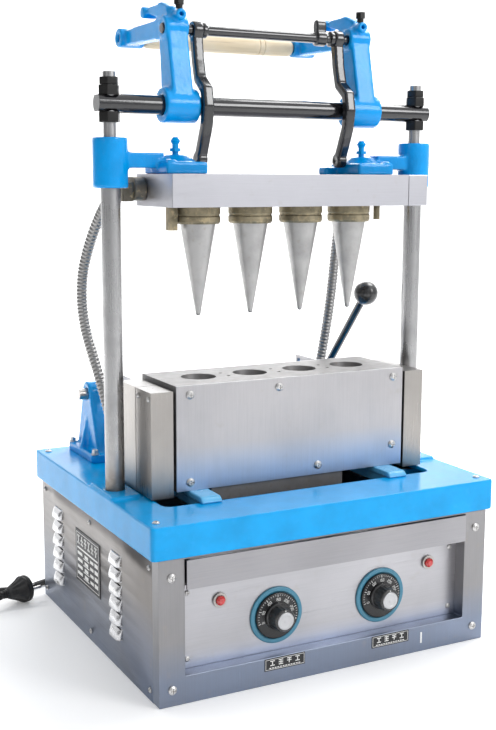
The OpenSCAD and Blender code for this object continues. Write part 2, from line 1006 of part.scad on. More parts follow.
module ball_knob() {
    color(dark)
        translate([lever_x + 1, shaft_y, shaft_z])
            rotate([lever_lean, 0, 0])
                difference() {
                    translate([0, 0, lever_l])
                        sphere(d = 36);
                    translate([0, 0, lever_l - 20])
                        cylinder(d = 12 + 2 * eps, h = 8 + eps);
                }
}

// Armoured conduits between the head and the top plate, with their points from head to plate
conduit_d = 15;
left_route = [
    [-197, 8.2, 608], [-198, 30, 603], [-204, 56, 578], [-211, 80, 540], [-216, 96, 500],
    [-217, 101, 460], [-214, 97, 420], [-207, 86, 380], [-200, 72, 340], [-194, 60, 300],
    [-190, 52, 262], [-189, 50, 226]
];
right_route = [
    [160, 6.2, 606], [160, 25, 603], [162, 42, 576], [162, 50, 540], [160, 54, 500], [157, 56, 460],
    [152, 57, 420], [145, 57, 380], [137, 57, 340], [127, 58, 300], [115, 60, 262], [112, 60, 226]
];

// Mains cord: from the gland to its coil, and from the coil to the plug
cord_d = 9;
gland_x = -165;
gland_z = 50;
coil_at = [-110, 320];
coil_r = 50;                          // Middle of the coil's two rings of turns
lead_in = [
    [-165, 234, 50], [-165, 252, 47], [-165, 270, 37], [-165, 288, 24], [-165, 304, 16], [-165, 320, 14]
];
lead_out = [
    [-110, 258, 5], [-130, 258, 5], [-150, 260, 5], [-170, 263, 5], [-190, 266, 5], [-208, 267, 5],
    [-225, 264, 5], [-241, 258, 5], [-257, 252, 5], [-273, 250, 5], [-290, 252, 5], [-306, 257, 5],
    [-321, 263, 5], [-338, 265, 5], [-353, 260, 5], [-366, 248, 5], [-372, 232, 5], [-371, 216, 6],
    [-364, 202, 8], [-351, 192.5, 11], [-335, 189.5, 15], [-318, 194, 18]
];
plug_turn = 18;                       // Heading of the plug on the floor
plug_r = 20;
plug_at = [-318, 194];                // Where the cord enters the plug's sleeve

function heading(p, i) = unit(p[min(i + 1, len(p) - 1)] - p[max(i - 1, 0)]);

// Ring of points around one point of a route, square to the route
function ring(p, i, r, n, up) =
    let (t = heading(p, i), u = unit(cross(t, up)), v = cross(t, u))
        [for (k = [0:n - 1]) p[i] + r * (u * cos(360 * k / n) + v * sin(360 * k / n))];

module tube(p, d, n, up) {
    last = len(p) - 1;
    rings = [for (i = [0:last]) each ring(p, i, d / 2, n, up)];
    walls = [
        for (i = [0:last - 1])
            for (k = [0:n - 1])
                [i * n + k, i * n + (k + 1) % n, (i + 1) * n + (k + 1) % n, (i + 1) * n + k]
    ];
    ends = [[for (k = [0:n - 1]) n - 1 - k], [for (k = [0:n - 1]) last * n + k]];
    polyhedron(points = rings, faces = concat(walls, ends), convexity = 8);
}

module conduit_left() {
    color([0.55, 0.55, 0.54])
        tube(left_route, conduit_d, 10, [1, 0, 0]);
}

module conduit_right() {
    color([0.55, 0.55, 0.54])
        tube(right_route, conduit_d, 10, [1, 0, 0]);
}

module cable_gland() {
    color(dark)
        difference() {
            union() {
                rod_back([gland_x, cab_back - sheet - 8, gland_z], 16, 12);
                rod_back([gland_x, cab_back - sheet - 7, gland_z], 24, 6.9, 6);
                rod_back([gland_x, cab_back + 0.1, gland_z], 25, 4, 6);
                on_back([gland_x, cab_back + 4, gland_z])
                    cylinder(d1 = 21, d2 = 15, h = 4.6);
            }
            rod_back([gland_x, cab_back - 20, gland_z], cord_d + 0.4, 60);
        }
}

module mains_lead_in() {
    color(dark)
        tube(lead_in, cord_d, 10, [1, 0, 0]);
}

module mains_lead_out() {
    color(dark)
        tube(lead_out, cord_d, 10, [0, 0, 1]);
}

module mains_coil() {
    color(dark)
        translate([coil_at[0], coil_at[1], 0])
            rotate_extrude()
                translate([coil_r - cord_d, 0.5])
                    square([2 * cord_d, 2 * cord_d]);
}

// Two-pin plug lying on the floor, with its flexible sleeve
module plug() {
    sleeve = 12;
    cone = 24;
    body = 34;
    translate([plug_at[0], plug_at[1], plug_r])
        rotate(plug_turn)
            rotate([0, 90, 0]) {
                color(dark) {
                    cylinder(d1 = 11, d2 = 14, h = sleeve);
                    translate([0, 0, sleeve])
                        cylinder(d1 = 17, d2 = 2 * plug_r, h = cone);
                    translate([0, 0, sleeve + cone])
                        cylinder(r = plug_r, h = body - cone);
                }
                color(bright)
                    for (y = [-9.5, 9.5])
                        translate([0, y, sleeve + body - 1]) {
                            cylinder(d = 4.8, h = 18);
                            translate([0, 0, 18])
                                cylinder(d1 = 4.8, d2 = 3, h = 2);
                        }
            }
}

front_frame();
side_panel_left();
side_panel_right();
back_panel();
base_pan();
top_plate();
control_panel();
cone_tray();
cabinet_screws();
dial_bezels();
dial_left();
dial_right();
lamp_bezels();
lamp_lenses();
thermostats();
terminal_block();
front_labels();
nameplate();
columns();
crossbar();
column_nuts();
mould_rails();
shaft_pedestals();
head_block();
head_cover();
terminal_cover();
cone_cores();
core_collars();
stop_pins();
head_heaters();
wire_box();
head_brackets();
guide_bushes();
oilers();
lever_arms();
arm_bolts();
top_rod();
handle_bar();
wooden_grip();
link_bars();
mould_front();
mould_front_cover();
mould_front_ends();
mould_front_heaters();
mould_screws();
mould_rear();
mould_rear_cover();
mould_rear_ends();
mould_rear_heaters();
lever_shaft();
shaft_cranks();
ball_lever();
ball_knob();
conduit_left();
conduit_right();
cable_gland();
mains_lead_in();
mains_lead_out();
mains_coil();
plug();
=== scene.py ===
"""Looks of the four-cone wafer machine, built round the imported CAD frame.

Shapes are written in millimetres, and MM turns them into metres. The camera, the lights, the floor and the
heights in the shaders are in metres.
"""

import json
import math

import bmesh
import bpy
from mathutils import Matrix, Vector

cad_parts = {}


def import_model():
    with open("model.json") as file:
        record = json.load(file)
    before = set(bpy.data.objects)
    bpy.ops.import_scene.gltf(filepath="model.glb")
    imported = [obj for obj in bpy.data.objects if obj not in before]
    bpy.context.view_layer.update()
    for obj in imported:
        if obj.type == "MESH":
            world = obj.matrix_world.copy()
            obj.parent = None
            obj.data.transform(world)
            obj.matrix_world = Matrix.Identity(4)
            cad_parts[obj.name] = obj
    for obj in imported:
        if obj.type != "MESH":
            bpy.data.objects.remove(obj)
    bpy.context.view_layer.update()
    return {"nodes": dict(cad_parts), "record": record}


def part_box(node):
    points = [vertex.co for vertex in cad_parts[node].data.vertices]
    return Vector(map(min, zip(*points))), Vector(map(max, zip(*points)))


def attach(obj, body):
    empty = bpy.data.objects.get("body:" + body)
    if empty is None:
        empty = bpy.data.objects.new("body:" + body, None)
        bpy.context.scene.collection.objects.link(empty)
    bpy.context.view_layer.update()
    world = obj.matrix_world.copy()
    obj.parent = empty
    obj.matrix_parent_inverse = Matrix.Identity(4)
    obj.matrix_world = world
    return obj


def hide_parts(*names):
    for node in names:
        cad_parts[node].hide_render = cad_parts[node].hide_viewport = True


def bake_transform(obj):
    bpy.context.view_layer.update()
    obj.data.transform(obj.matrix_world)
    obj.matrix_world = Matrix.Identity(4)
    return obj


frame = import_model()
nodes = frame["nodes"]
MM = 0.001
X, Y, Z = Vector((1, 0, 0)), Vector((0, 1, 0)), Vector((0, 0, 1))


def body_of(node):
    """The CAD body that carries a node."""
    bodies = frame["record"]["behaviour"]["bodies"]
    return next(name for name, members in bodies.items() if node in members)


# ---------------------------------------------------------------- camera

def make_camera():
    """Upright view of 496 by 730 through a normal lens, from the front left and a little above."""
    data = bpy.data.cameras.new("camera")
    data.lens = 57.1
    data.sensor_width = 36
    data.shift_x = -0.0022
    camera = bpy.data.objects.new("camera", data)
    azimuth, elevation, roll = math.radians(-27.61), math.radians(9.17), math.radians(0.2)
    back = Vector((math.sin(azimuth) * math.cos(elevation),
                   -math.cos(azimuth) * math.cos(elevation), math.sin(elevation)))
    camera.rotation_mode = "QUATERNION"
    tilt = Matrix.Rotation(roll, 3, "Z").to_quaternion()
    camera.rotation_quaternion = (-back).to_track_quat("-Z", "Y") @ tilt
    camera.location = (-0.748, -1.413, 0.626)
    bpy.context.scene.collection.objects.link(camera)
    bpy.context.scene.camera = camera


make_camera()


# ---------------------------------------------------------------- shader helpers

class Shader:
    """A node material: a Principled shader with a few short-hands for what feeds it."""

    def __init__(self, name, colour, rough, metal=0.0, coat=0.0, specular=0.5):
        self.material = bpy.data.materials.new(name)
        self.material.use_nodes = True
        self.tree = self.material.node_tree
        self.tree.nodes.clear()
        self.shader = self.add("ShaderNodeBsdfPrincipled")
        out = self.add("ShaderNodeOutputMaterial")
        self.link(self.shader.outputs[0], out.inputs["Surface"])
        self.shader.inputs["Metallic"].default_value = metal
        self.shader.inputs["Coat Weight"].default_value = coat
        self.shader.inputs["Coat Roughness"].default_value = 0.06
        self.shader.inputs["Specular IOR Level"].default_value = specular
        self.place = self.add("ShaderNodeTexCoord").outputs["Object"]
        self.colour = self.rgb(colour)
        self.rough = self.number(rough)
        self.height = None

    def add(self, kind, **inputs):
        """A node of a kind, with some of its inputs set."""
        node = self.tree.nodes.new(kind)
        for name, value in inputs.items():
            node.inputs[name].default_value = value
        return node

    def link(self, a, b):
        self.tree.links.new(a, b)

    def rgb(self, colour):
        node = self.add("ShaderNodeRGB")
        node.outputs[0].default_value = (*colour, 1)
        return node.outputs[0]

    def number(self, value):
        node = self.add("ShaderNodeValue")
        node.outputs[0].default_value = value
        return node.outputs[0]

    def noise(self, scale, detail=3.0, stretch=(1, 1, 1), seed=0.0):
        """Fractal noise from 0 to 1; stretch is the share of the scale along each axis."""
        mapping = self.add("ShaderNodeMapping")
        mapping.inputs["Scale"].default_value = stretch
        mapping.inputs["Location"].default_value = (seed, seed * 0.7, seed * 1.3)
        self.link(self.place, mapping.inputs["Vector"])
        node = self.add("ShaderNodeTexNoise", Scale=scale, Detail=detail, Roughness=0.55)
        self.link(mapping.outputs[0], node.inputs["Vector"])
        return node.outputs["Fac"]

    def cells(self, scale):
        """Distance from the middles of scattered cells."""
        node = self.add("ShaderNodeTexVoronoi", Scale=scale)
        self.link(self.place, node.inputs["Vector"])
        return node.outputs["Distance"]

    def remap(self, value, lo, hi, to_lo=0.0, to_hi=1.0):
        """Spreads the range from lo to hi over the range from to_lo to to_hi, and clamps it there."""
        node = self.add("ShaderNodeMapRange")
        for name, number in (("From Min", lo), ("From Max", hi), ("To Min", to_lo), ("To Max", to_hi)):
            node.inputs[name].default_value = number
        self.link(value, node.inputs["Value"])
        return node.outputs["Result"]

    def math(self, kind, a, b):
        """A sum of two values, each a socket or a number."""
        node = self.add("ShaderNodeMath")
        node.operation = kind
        for socket, value in zip(node.inputs, (a, b)):
            if isinstance(value, (int, float)):
                socket.default_value = value
            else:
                self.link(value, socket)
        return node.outputs[0]

    def axis(self, letter):
        """One coordinate of the place on the object, in metres."""
        node = self.add("ShaderNodeSeparateXYZ")
        self.link(self.place, node.inputs[0])
        return node.outputs[letter]

    def edges(self, lo, hi):
        """1 along the raised edges of a dense mesh."""
        return self.remap(self.add("ShaderNodeNewGeometry").outputs["Pointiness"], lo, hi)

    def painted_top_shade(self, colour, share):
        """Painted shade: moves the colour of upward faces towards another one."""
        split = self.add("ShaderNodeSeparateXYZ")
        self.link(self.add("ShaderNodeNewGeometry").outputs["Normal"], split.inputs[0])
        return self.tint(self.remap(split.outputs["Z"], 0.7, 0.95, 0, share), colour)

    def tint(self, share, colour):
        """Moves the colour towards another one by a share from 0 to 1."""
        node = self.add("ShaderNodeMix")
        node.data_type = "RGBA"
        self.link(share, node.inputs[0])
        self.link(self.colour, node.inputs[6])
        self.link(self.rgb(colour), node.inputs[7])
        self.colour = node.outputs[2]
        return self

    def roughen(self, share, amount):
        """Adds share times amount to the roughness."""
        self.rough = self.math("ADD", self.rough, self.math("MULTIPLY", share, amount))
        return self

    def raise_by(self, value, height):
        """Adds value times height, in metres, to the bump."""
        term = self.math("MULTIPLY", value, height)
        self.height = term if self.height is None else self.math("ADD", self.height, term)
        return self

    def done(self, strength=1.0):
        """Wires up the colour, the roughness and the bump, at the bump's strength."""
        self.link(self.colour, self.shader.inputs["Base Color"])
        self.link(self.rough, self.shader.inputs["Roughness"])
        if self.height is not None:
            bump = self.add("ShaderNodeBump", Strength=strength, Distance=1.0)
            self.link(self.height, bump.inputs["Height"])
            self.link(bump.outputs[0], self.shader.inputs["Normal"])
        return self.material


# ---------------------------------------------------------------- materials

def brushed(name, colour, rough, grain=(0.02, 1, 1), grime=0.25, cast=None, reflection_hue=(0.17, 0.24, 0.38), top=0.0):
    """Sheet steel, brushed along the axis whose share of the grain is small.

    cast is a painted reflection given as (low, high, share): up to the height low the reflection_hue covers
    that share, and above high nothing.
    top is the share of painted shade by which upward faces are darker.
    """
    s = Shader(name, colour, rough, metal=1.0)
    # Painted reflection: low down the steel moves towards reflection_hue
    if cast:
        low, high, share = cast
        s.tint(s.remap(s.axis("Z"), low, high, share, 0), reflection_hue)
    # Painted shade: upward faces darker by the share top
    if top:
        s.painted_top_shade((0.1, 0.1, 0.105), top)
    streaks = s.noise(900, 2, grain)
    smudges = s.noise(9, 5, seed=3)
    spots = s.remap(s.noise(55, 4, seed=8), 0.62, 0.75)
    dark = [c * 0.62 for c in colour]
    s.tint(s.remap(smudges, 0.42, 0.75, 0, grime), dark)
    s.tint(s.remap(streaks, 0.3, 0.8, 0, 0.16), [c * 0.7 for c in colour])
    s.tint(s.math("MULTIPLY", spots, 0.18), (0.36, 0.31, 0.25))
    s.roughen(s.remap(streaks, 0.2, 0.8, -0.5, 0.5), 0.16)
    s.roughen(s.remap(smudges, 0.3, 0.8, -0.3, 0.7), 0.12)
    s.raise_by(streaks, 0.00003)
    s.raise_by(s.noise(14, 2, seed=5), 0.0004)
    return s.done(0.6)


def enamel(name, colour, rough=0.16, peel=0.00025, wear=0.5, coat=0.12, shine=0.3):
    """Thick brushed-on enamel with pools, orange peel and chipped edges; peel is its dimples' height."""
    s = Shader(name, colour, rough, coat=coat, specular=shine)
    pools = s.noise(26, 4, seed=2)
    s.tint(s.remap(pools, 0.35, 0.7, 0, 0.35), [c * 0.55 for c in colour])
    s.tint(s.remap(s.noise(70, 4, seed=6), 0.6, 0.8, 0, 0.25), [min(1, c * 1.12 + 0.03) for c in colour])
    chips = s.math("MULTIPLY", s.edges(0.56, 0.64), s.remap(s.noise(120, 4, seed=9), 0.5, 0.62))
    s.tint(s.math("MULTIPLY", chips, wear), (0.1, 0.12, 0.14))
    s.roughen(s.remap(pools, 0.3, 0.8), 0.1)
    s.raise_by(s.noise(150, 2, seed=4), peel)
    s.raise_by(s.noise(38, 3, seed=7), peel * 3)
    return s.done(0.7)


def polished(name, colour, rough=0.14, grain=(1, 1, 0.03), foot=None):
    """Ground or plated steel with water stains; below the height foot it is rusty."""
    s = Shader(name, colour, rough, metal=1.0)
    if foot:
        low = s.remap(s.axis("Z"), foot, foot + 0.03, 1, 0)
        rust = s.remap(s.noise(60, 4, seed=9), 0.3, 0.6, 0.3, 0.9)
        s.tint(s.math("MULTIPLY", low, rust), (0.2, 0.16, 0.12))
        s.roughen(low, 0.2)
    streaks = s.noise(600, 2, grain)
    stains = s.noise(22, 5, seed=4)
    s.tint(s.remap(stains, 0.5, 0.75, 0, 0.3), [c * 0.5 for c in colour])
    s.roughen(s.remap(streaks, 0.3, 0.8), 0.12)
    s.roughen(s.remap(stains, 0.45, 0.75), 0.18)
    s.raise_by(streaks, 0.00002)
    return s.done(0.5)


def ground_iron(name, colour):
    """Machined grey iron, baked dark in places, with painted shade on its upward faces."""
    s = Shader(name, colour, 0.42, metal=0.85)
    # Painted shade: upward faces darker
    s.painted_top_shade((0.1, 0.1, 0.1), 0.3)
    s.tint(s.remap(s.noise(20, 5, seed=1), 0.4, 0.7, 0, 0.5), [c * 0.5 for c in colour])
    s.tint(s.remap(s.noise(200, 3, seed=5), 0.55, 0.8, 0, 0.4), (0.2, 0.15, 0.1))
    s.roughen(s.noise(90, 3, seed=2), 0.2)
    s.raise_by(s.noise(700, 2, (1, 0.05, 1)), 0.00004)
    return s.done(0.6)


def cast_aluminium(name, colour):
    """Seasoned cone cores: pale, mottled, with fine turning marks."""
    s = Shader(name, colour, 0.3, metal=0.92)
    s.tint(s.remap(s.noise(38, 5, seed=2), 0.42, 0.7, 0, 0.5), [c * 0.62 for c in colour])
    s.tint(s.remap(s.noise(120, 4, seed=7), 0.6, 0.75, 0, 0.35), (0.3, 0.27, 0.22))
    rings = s.add("ShaderNodeTexWave", Scale=420.0, Distortion=0.6)
    rings.bands_direction = "Z"
    s.link(s.place, rings.inputs["Vector"])
    s.raise_by(rings.outputs["Fac"], 0.00003)
    s.raise_by(s.noise(260, 3, seed=1), 0.00012)
    s.roughen(s.noise(60, 4, seed=3), 0.2)
    return s.done(0.6)


def stained_bronze(name, colour):
    """Old bronze: brown stains with brighter rubbed spots."""
    s = Shader(name, colour, 0.42, metal=0.9)
    s.tint(s.remap(s.noise(60, 5, seed=2), 0.4, 0.7, 0, 0.75), (0.11, 0.1, 0.07))
    s.tint(s.remap(s.noise(170, 3, seed=4), 0.55, 0.75, 0, 0.6), (0.62, 0.5, 0.3))
    s.roughen(s.noise(80, 3, seed=6), 0.25)
    s.raise_by(s.noise(220, 3, seed=3), 0.0001)
    return s.done(0.7)


def moulded(name, colour, rough=0.3, coat=0.3, grain=0.00003, dust=0.15):
    """Plastic, phenolic or ceramic, with patches of dust."""
    s = Shader(name, colour, rough, coat=coat)
    s.tint(s.remap(s.noise(80, 4, seed=3), 0.5, 0.8, 0, dust), (0.4, 0.39, 0.37))
    s.roughen(s.noise(140, 3, seed=5), 0.16)
    s.raise_by(s.noise(500, 2, seed=1), grain)
    return s.done(0.6)


def rubber(name, colour):
    """Dusty black rubber."""
    s = Shader(name, colour, 0.5, specular=0.4)
    s.tint(s.remap(s.noise(70, 4, seed=3), 0.5, 0.8, 0, 0.25), (0.16, 0.155, 0.15))
    s.roughen(s.noise(110, 3, seed=2), 0.2)
    s.raise_by(s.noise(900, 2, seed=1), 0.00005)
    return s.done(0.6)


def turned_wood(name, colour):
    """Pale wood turned along X, with long grain, pale patches and dark flecks."""
    s = Shader(name, colour, 0.42, coat=0.12)
    grain = s.noise(220, 4, (0.05, 1, 1))
    s.tint(s.remap(grain, 0.45, 0.75, 0, 0.55), (0.5, 0.36, 0.2))
    s.tint(s.remap(s.noise(30, 4, (0.5, 1, 1), seed=5), 0.5, 0.75, 0, 0.35), (0.93, 0.84, 0.68))
    s.tint(s.remap(s.noise(300, 2, (0.03, 1, 1), seed=7), 0.68, 0.8, 0, 0.5), (0.3, 0.19, 0.09))
    s.roughen(grain, 0.15)
    s.raise_by(grain, 0.00012)
    return s.done(0.7)


def lamp_glass(name, colour):
    """Facetted red lens that glows a little."""
    s = Shader(name, colour, 0.12, coat=0.8)
    s.shader.inputs["Emission Color"].default_value = (*colour, 1)
    s.shader.inputs["Emission Strength"].default_value = 0.06
    s.tint(s.remap(s.cells(900), 0.2, 0.8, 0, 0.4), (0.8, 0.1, 0.08))
    s.raise_by(s.cells(900), 0.0001)
    return s.done(0.8)


def printed(name, colour, rough=0.35):
    """Ink, foil and paint marks."""
    s = Shader(name, colour, rough)
    s.tint(s.remap(s.noise(400, 3, seed=2), 0.55, 0.75, 0, 0.35), [0.5 * c for c in colour])
    s.roughen(s.noise(200, 2, seed=3), 0.15)
    return s.done()


# ---------------------------------------------------------------- mesh helpers

def finished(name, bm, material, body, replaced=(), smooth=35.0):
    """Turns a bmesh into a named piece that rides on a body and stands for CAD nodes."""
    bmesh.ops.remove_doubles(bm, verts=bm.verts, dist=1e-6)
    bmesh.ops.recalc_face_normals(bm, faces=bm.faces)
    mesh = bpy.data.meshes.new(name)
    bm.to_mesh(mesh)
    bm.free()
    obj = bpy.data.objects.new(name, mesh)
    bpy.context.scene.collection.objects.link(obj)
    return dressed(obj, material, body, replaced, smooth)


def dressed(obj, material, body, replaced=(), smooth=35.0):
    """Gives a piece its material, slot, smoothing, body and the CAD nodes it stands for."""
    # An empty list is left alone, because clearing it would put every face back to the first material
    if len(obj.data.materials):
        obj.data.materials.clear()
    obj.data.materials.append(material)
    if smooth:
        shade(obj.data, smooth)
    if body is not None:
        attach(obj, body)
    if replaced:
        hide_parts(*replaced)
    return obj


def shade(mesh, angle):
    """Smooth shading with sharp edges above an angle in degrees."""
    mesh.polygons.foreach_set("use_smooth", [True] * len(mesh.polygons))
    mesh.set_sharp_from_angle(angle=math.radians(angle))


def bevel(obj, width, segments, angle):
    """Joins a CAD node's loose corners and rounds its sharp edges by a width in metres."""
    obj.modifiers.new("weld", "WELD").merge_threshold = 0.02 * MM
    mod = obj.modifiers.new("bevel", "BEVEL")
    mod.width = width
    mod.segments = segments
    mod.limit_method = "ANGLE"
    mod.angle_limit = math.radians(angle)
    mod.use_clamp_overlap = True
    normals = obj.modifiers.new("normals", "WEIGHTED_NORMAL")
    normals.mode = "FACE_AREA"
    normals.weight = 90


def box_into(bm, lo, hi):
    """A box in mm from its lowest to its highest corner."""
    lo, hi = Vector(lo) * MM, Vector(hi) * MM
    size = hi - lo
    for v in bmesh.ops.create_cube(bm, size=1.0)["verts"]:
        v.co = Vector([(v.co[i] + 0.5) * size[i] for i in range(3)]) + lo


def turn_into(bm, at, axis, profile, sides=48, closed=False):
    """Revolves (radius, distance along the axis) pairs in mm round an axis through a point."""
    at = Vector(at) * MM
    axis = Vector(axis).normalized()
    u = axis.orthogonal().normalized()
    if abs(axis.dot(Z)) > 0.9:
        u = X.copy()
    v = axis.cross(u)
    turns = [2 * math.pi * k / sides for k in range(sides)]
    rings = []
    for r, h in profile:
        if r < 1e-4:
            rings.append([bm.verts.new(at + axis * h * MM)])
            continue
        rings.append([
            bm.verts.new(at + axis * h * MM + (u * math.cos(a) + v * math.sin(a)) * r * MM) for a in turns
        ])
    pairs = list(zip(rings, rings[1:]))
    if closed:
        pairs.append((rings[-1], rings[0]))
    for a, b in pairs:
        for k in range(sides):
            m = (k + 1) % sides
            if len(a) == 1 and len(b) == 1:
                continue
            if len(a) == 1:
                bm.faces.new((a[0], b[m], b[k]))
            elif len(b) == 1:
                bm.faces.new((a[k], a[m], b[0]))
            else:
                bm.faces.new((a[k], a[m], b[m], b[k]))
    if not closed:
        for ring in (rings[0], rings[-1]):
            if len(ring) > 2:
                bm.faces.new(ring)


def rounded(points, r, steps=3):
    """The profile's convex and concave corners rounded by r, for turn_into."""
    out = [points[0]]
    for a, b, c in zip(points, points[1:], points[2:]):
        pa, pb, pc = Vector(a), Vector(b), Vector(c)
        da, dc = pa - pb, pc - pb
        reach = min(r, da.length * 0.45, dc.length * 0.45)
        p, q = pb + da.normalized() * reach, pb + dc.normalized() * reach
        for i in range(steps + 1):
            t = i / steps
            out.append(tuple((1 - t) ** 2 * p + 2 * t * (1 - t) * pb + t * t * q))
    out.append(points[-1])
    return out


def copied(node):
    """A new object with its own copy of a CAD node's mesh."""
    source = nodes[node]
    mesh = source.data.copy()
    mesh.transform(source.matrix_world)
    obj = bpy.data.objects.new(node + "_look", mesh)
    bpy.context.scene.collection.objects.link(obj)
    return obj


def applied(obj):
    """Turns the modifiers of an object into its mesh."""
    graph = bpy.context.evaluated_depsgraph_get()
    mesh = bpy.data.meshes.new_from_object(obj.evaluated_get(graph))
    obj.modifiers.clear()
    obj.data = mesh


def softened(node, material, voxel, rounds, swell=0.0):
    """A cast look for a node: a mesh of voxels, in mm, rounded off by rounds of smoothing."""
    obj = copied(node)
    remesh = obj.modifiers.new("remesh", "REMESH")
    remesh.mode = "VOXEL"
    remesh.voxel_size = voxel * MM
    smooth = obj.modifiers.new("smooth", "SMOOTH")
    smooth.factor = 0.5
    smooth.iterations = rounds
    if swell:
        push = obj.modifiers.new("swell", "DISPLACE")
        push.strength = swell * MM
        push.mid_level = 0.0
    applied(obj)
    return dressed(obj, material, body_of(node), [node], smooth=80)


def carried(node, material, width, segments=2, angle=32):
    """Keeps a CAD node and gives it a material and edges rounded by a width in mm."""
    obj = nodes[node]
    obj.data.materials.clear()
    obj.data.materials.append(material)
    obj.data.polygons.foreach_set("use_smooth", [True] * len(obj.data.polygons))
    bevel(obj, width * MM, segments, angle)


def tube_curve(name, points, radius):
    """A round curve of one open spline through points in metres."""
    data = bpy.data.curves.new(name, "CURVE")
    data.dimensions = "3D"
    data.bevel_depth = radius
    data.bevel_resolution = 6
    data.use_fill_caps = True
    spline = data.splines.new("POLY")
    spline.points.add(len(points) - 1)
    for target, p in zip(spline.points, points):
        target.co = (*p, 1)
    spline.use_smooth = True
    obj = bpy.data.objects.new(name, data)
    bpy.context.scene.collection.objects.link(obj)
    return obj


def through(points, steps):
    """A smooth line through points: a uniform Catmull-Rom spline."""
    pts = [Vector(p) for p in points]
    pts = [2 * pts[0] - pts[1]] + pts + [2 * pts[-1] - pts[-2]]
    out = []
    for p0, p1, p2, p3 in zip(pts, pts[1:], pts[2:], pts[3:]):
        for i in range(steps):
            t = i / steps
            out.append(0.5 * ((2 * p1) + (p2 - p0) * t + (2 * p0 - 5 * p1 + 4 * p2 - p3) * t * t
                              + (3 * p1 - p0 - 3 * p2 + p3) * t ** 3))
    out.append(pts[-2])
    return out


def sweep_into(bm, line, radii, sides=24):
    """A closed tube through the points of a line in millimetres, with a radius at each of them."""
    turns = [2 * math.pi * k / sides for k in range(sides)]
    rings, u = [], None
    for i, (p, r) in enumerate(zip(line, radii)):
        t = (line[min(i + 1, len(line) - 1)] - line[max(i - 1, 0)]).normalized()
        u = t.orthogonal().normalized() if u is None else (u - t * u.dot(t)).normalized()
        v = t.cross(u)
        rings.append([bm.verts.new((p + (u * math.cos(a) + v * math.sin(a)) * r) * MM) for a in turns])
    for a, b in zip(rings, rings[1:]):
        for k in range(sides):
            m = (k + 1) % sides
            bm.faces.new((a[k], a[m], b[m], b[k]))
    for ring in (rings[0], rings[-1]):
        bm.faces.new(ring)


# ---------------------------------------------------------------- mains cord, made first

CORD = 0.009
# From the gland into the coil, and from the coil to the plug, in mm
LEAD_IN = [
    (-165, 234, 50), (-165, 252, 47), (-165, 270, 37), (-165, 288, 24), (-165, 304, 16), (-165, 320, 14),
]
LEAD_OUT = [
    (-110, 258, 5), (-130, 258, 5), (-150, 260, 5), (-170, 263, 5), (-190, 266, 5), (-208, 267, 5),
    (-225, 264, 5), (-241, 258, 5), (-257, 252, 5), (-273, 250, 5), (-290, 252, 5), (-306, 257, 5),
    (-321, 263, 5), (-338, 265, 5), (-353, 260, 5), (-366, 248, 5), (-372, 232, 5), (-371, 216, 6),
    (-364, 202, 8), (-351, 192.5, 11), (-335, 189.5, 15), (-318, 194, 18),
]
COIL_AT = (-110, 320)
# (turned so far in degrees, radius, height): an outer and an inner turn on top,
# then an inner and an outer one on the floor
COIL = [
    (0, 55, 14), (250, 55, 14), (350, 46, 14), (600, 46, 14), (700, 46, 5), (890, 46, 5),
    (990, 55, 5), (1270, 55, 5), (1350, 62, 5),
]


def coil_points():
    """The coil's line, clockwise from its left side, with a point every 15 degrees or so."""
    points = []
    for (a0, r0, z0), (a1, r1, z1) in zip(COIL, COIL[1:]):
        steps = max(4, int((a1 - a0) / 15))
        for i in range(steps):
            t = i / steps
            eased = t * t * (3 - 2 * t)
            a = math.radians(180 - (a0 + (a1 - a0) * t))
            r = r0 + (r1 - r0) * eased
            z = z0 + (z1 - z0) * eased
            points.append((COIL_AT[0] + r * math.cos(a), COIL_AT[1] + r * math.sin(a), z))
    return points


cord_line = through([Vector(p) * MM for p in LEAD_IN[:-1] + coil_points() + LEAD_OUT], steps=4)
cord_look = rubber("cord rubber", (0.012, 0.012, 0.012))
plug_look = rubber("plug rubber", (0.016, 0.016, 0.017))
pin_look = polished("plug pins", (0.75, 0.74, 0.72), 0.2)

cord = tube_curve("mains_cord", cord_line, CORD / 2)
cord.data.materials.append(cord_look)
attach(cord, "base")
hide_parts("mains_lead_in", "mains_coil", "mains_lead_out")

# Where the cord enters the plug's sleeve, and the plug's heading on the floor
PLUG_AT = Vector((-318, 194, 20))
PLUG_HEADING = math.radians(18)
PIN_OFFSET = 9.5
plug_axis = Vector((math.cos(PLUG_HEADING), math.sin(PLUG_HEADING), 0))
plug_side = Vector((-plug_axis.y, plug_axis.x, 0))


def plug_body():
    """Conical moulded plug with finger grooves, a grip rim and a flat face."""
    grooves, depth = 12, 0.7
    bm = bmesh.new()
    profile = rounded([
        (0, 11), (7.4, 11), (9, 14), (12.4, 22), (16.2, 30), (19, 34.5), (19.9, 36.5), (19.9, 37.5),
        (19.1, 38.6), (19.1, 39.8), (19.9, 40.9), (19.9, 44), (18.4, 45.8), (0, 45.8),
    ], 1.1, 3)
    turn_into(bm, PLUG_AT, plug_axis, profile, 96)
    for v in bm.verts:
        along = (v.co / MM - PLUG_AT).dot(plug_axis)
        if 16 < along < 35:
            out = v.co / MM - PLUG_AT - plug_axis * along
            wave = math.cos(grooves * math.atan2(out.z, out.dot(plug_side)))
            v.co += out.normalized() * depth * (wave - 1) * MM
    return finished("plug_body", bm, plug_look, "base", ["plug"], 40)


def plug_sleeve():
    """Strain relief between the cord and the plug, with three ribs that grow towards the plug."""
    pitch = 3.8
    bm = bmesh.new()
    profile = [(4.6, -1.5), (5.6, -1.2)]
    for i in range(3):
        at = i * pitch
        r = 5.0 + 0.5 * i
        profile += [(r + 0.5, at), (r + 0.7, at + 2.5), (r - 0.4, at + 3.0), (r - 0.3, at + 3.6)]
    profile += [(6.8, 11.6), (7.0, 13.0), (0, 13.0)]
    turn_into(bm, PLUG_AT, plug_axis, [(0, -1.5)] + rounded(profile, 0.4, 2), 48)
    return finished("plug_sleeve", bm, plug_look, "base", (), 50)


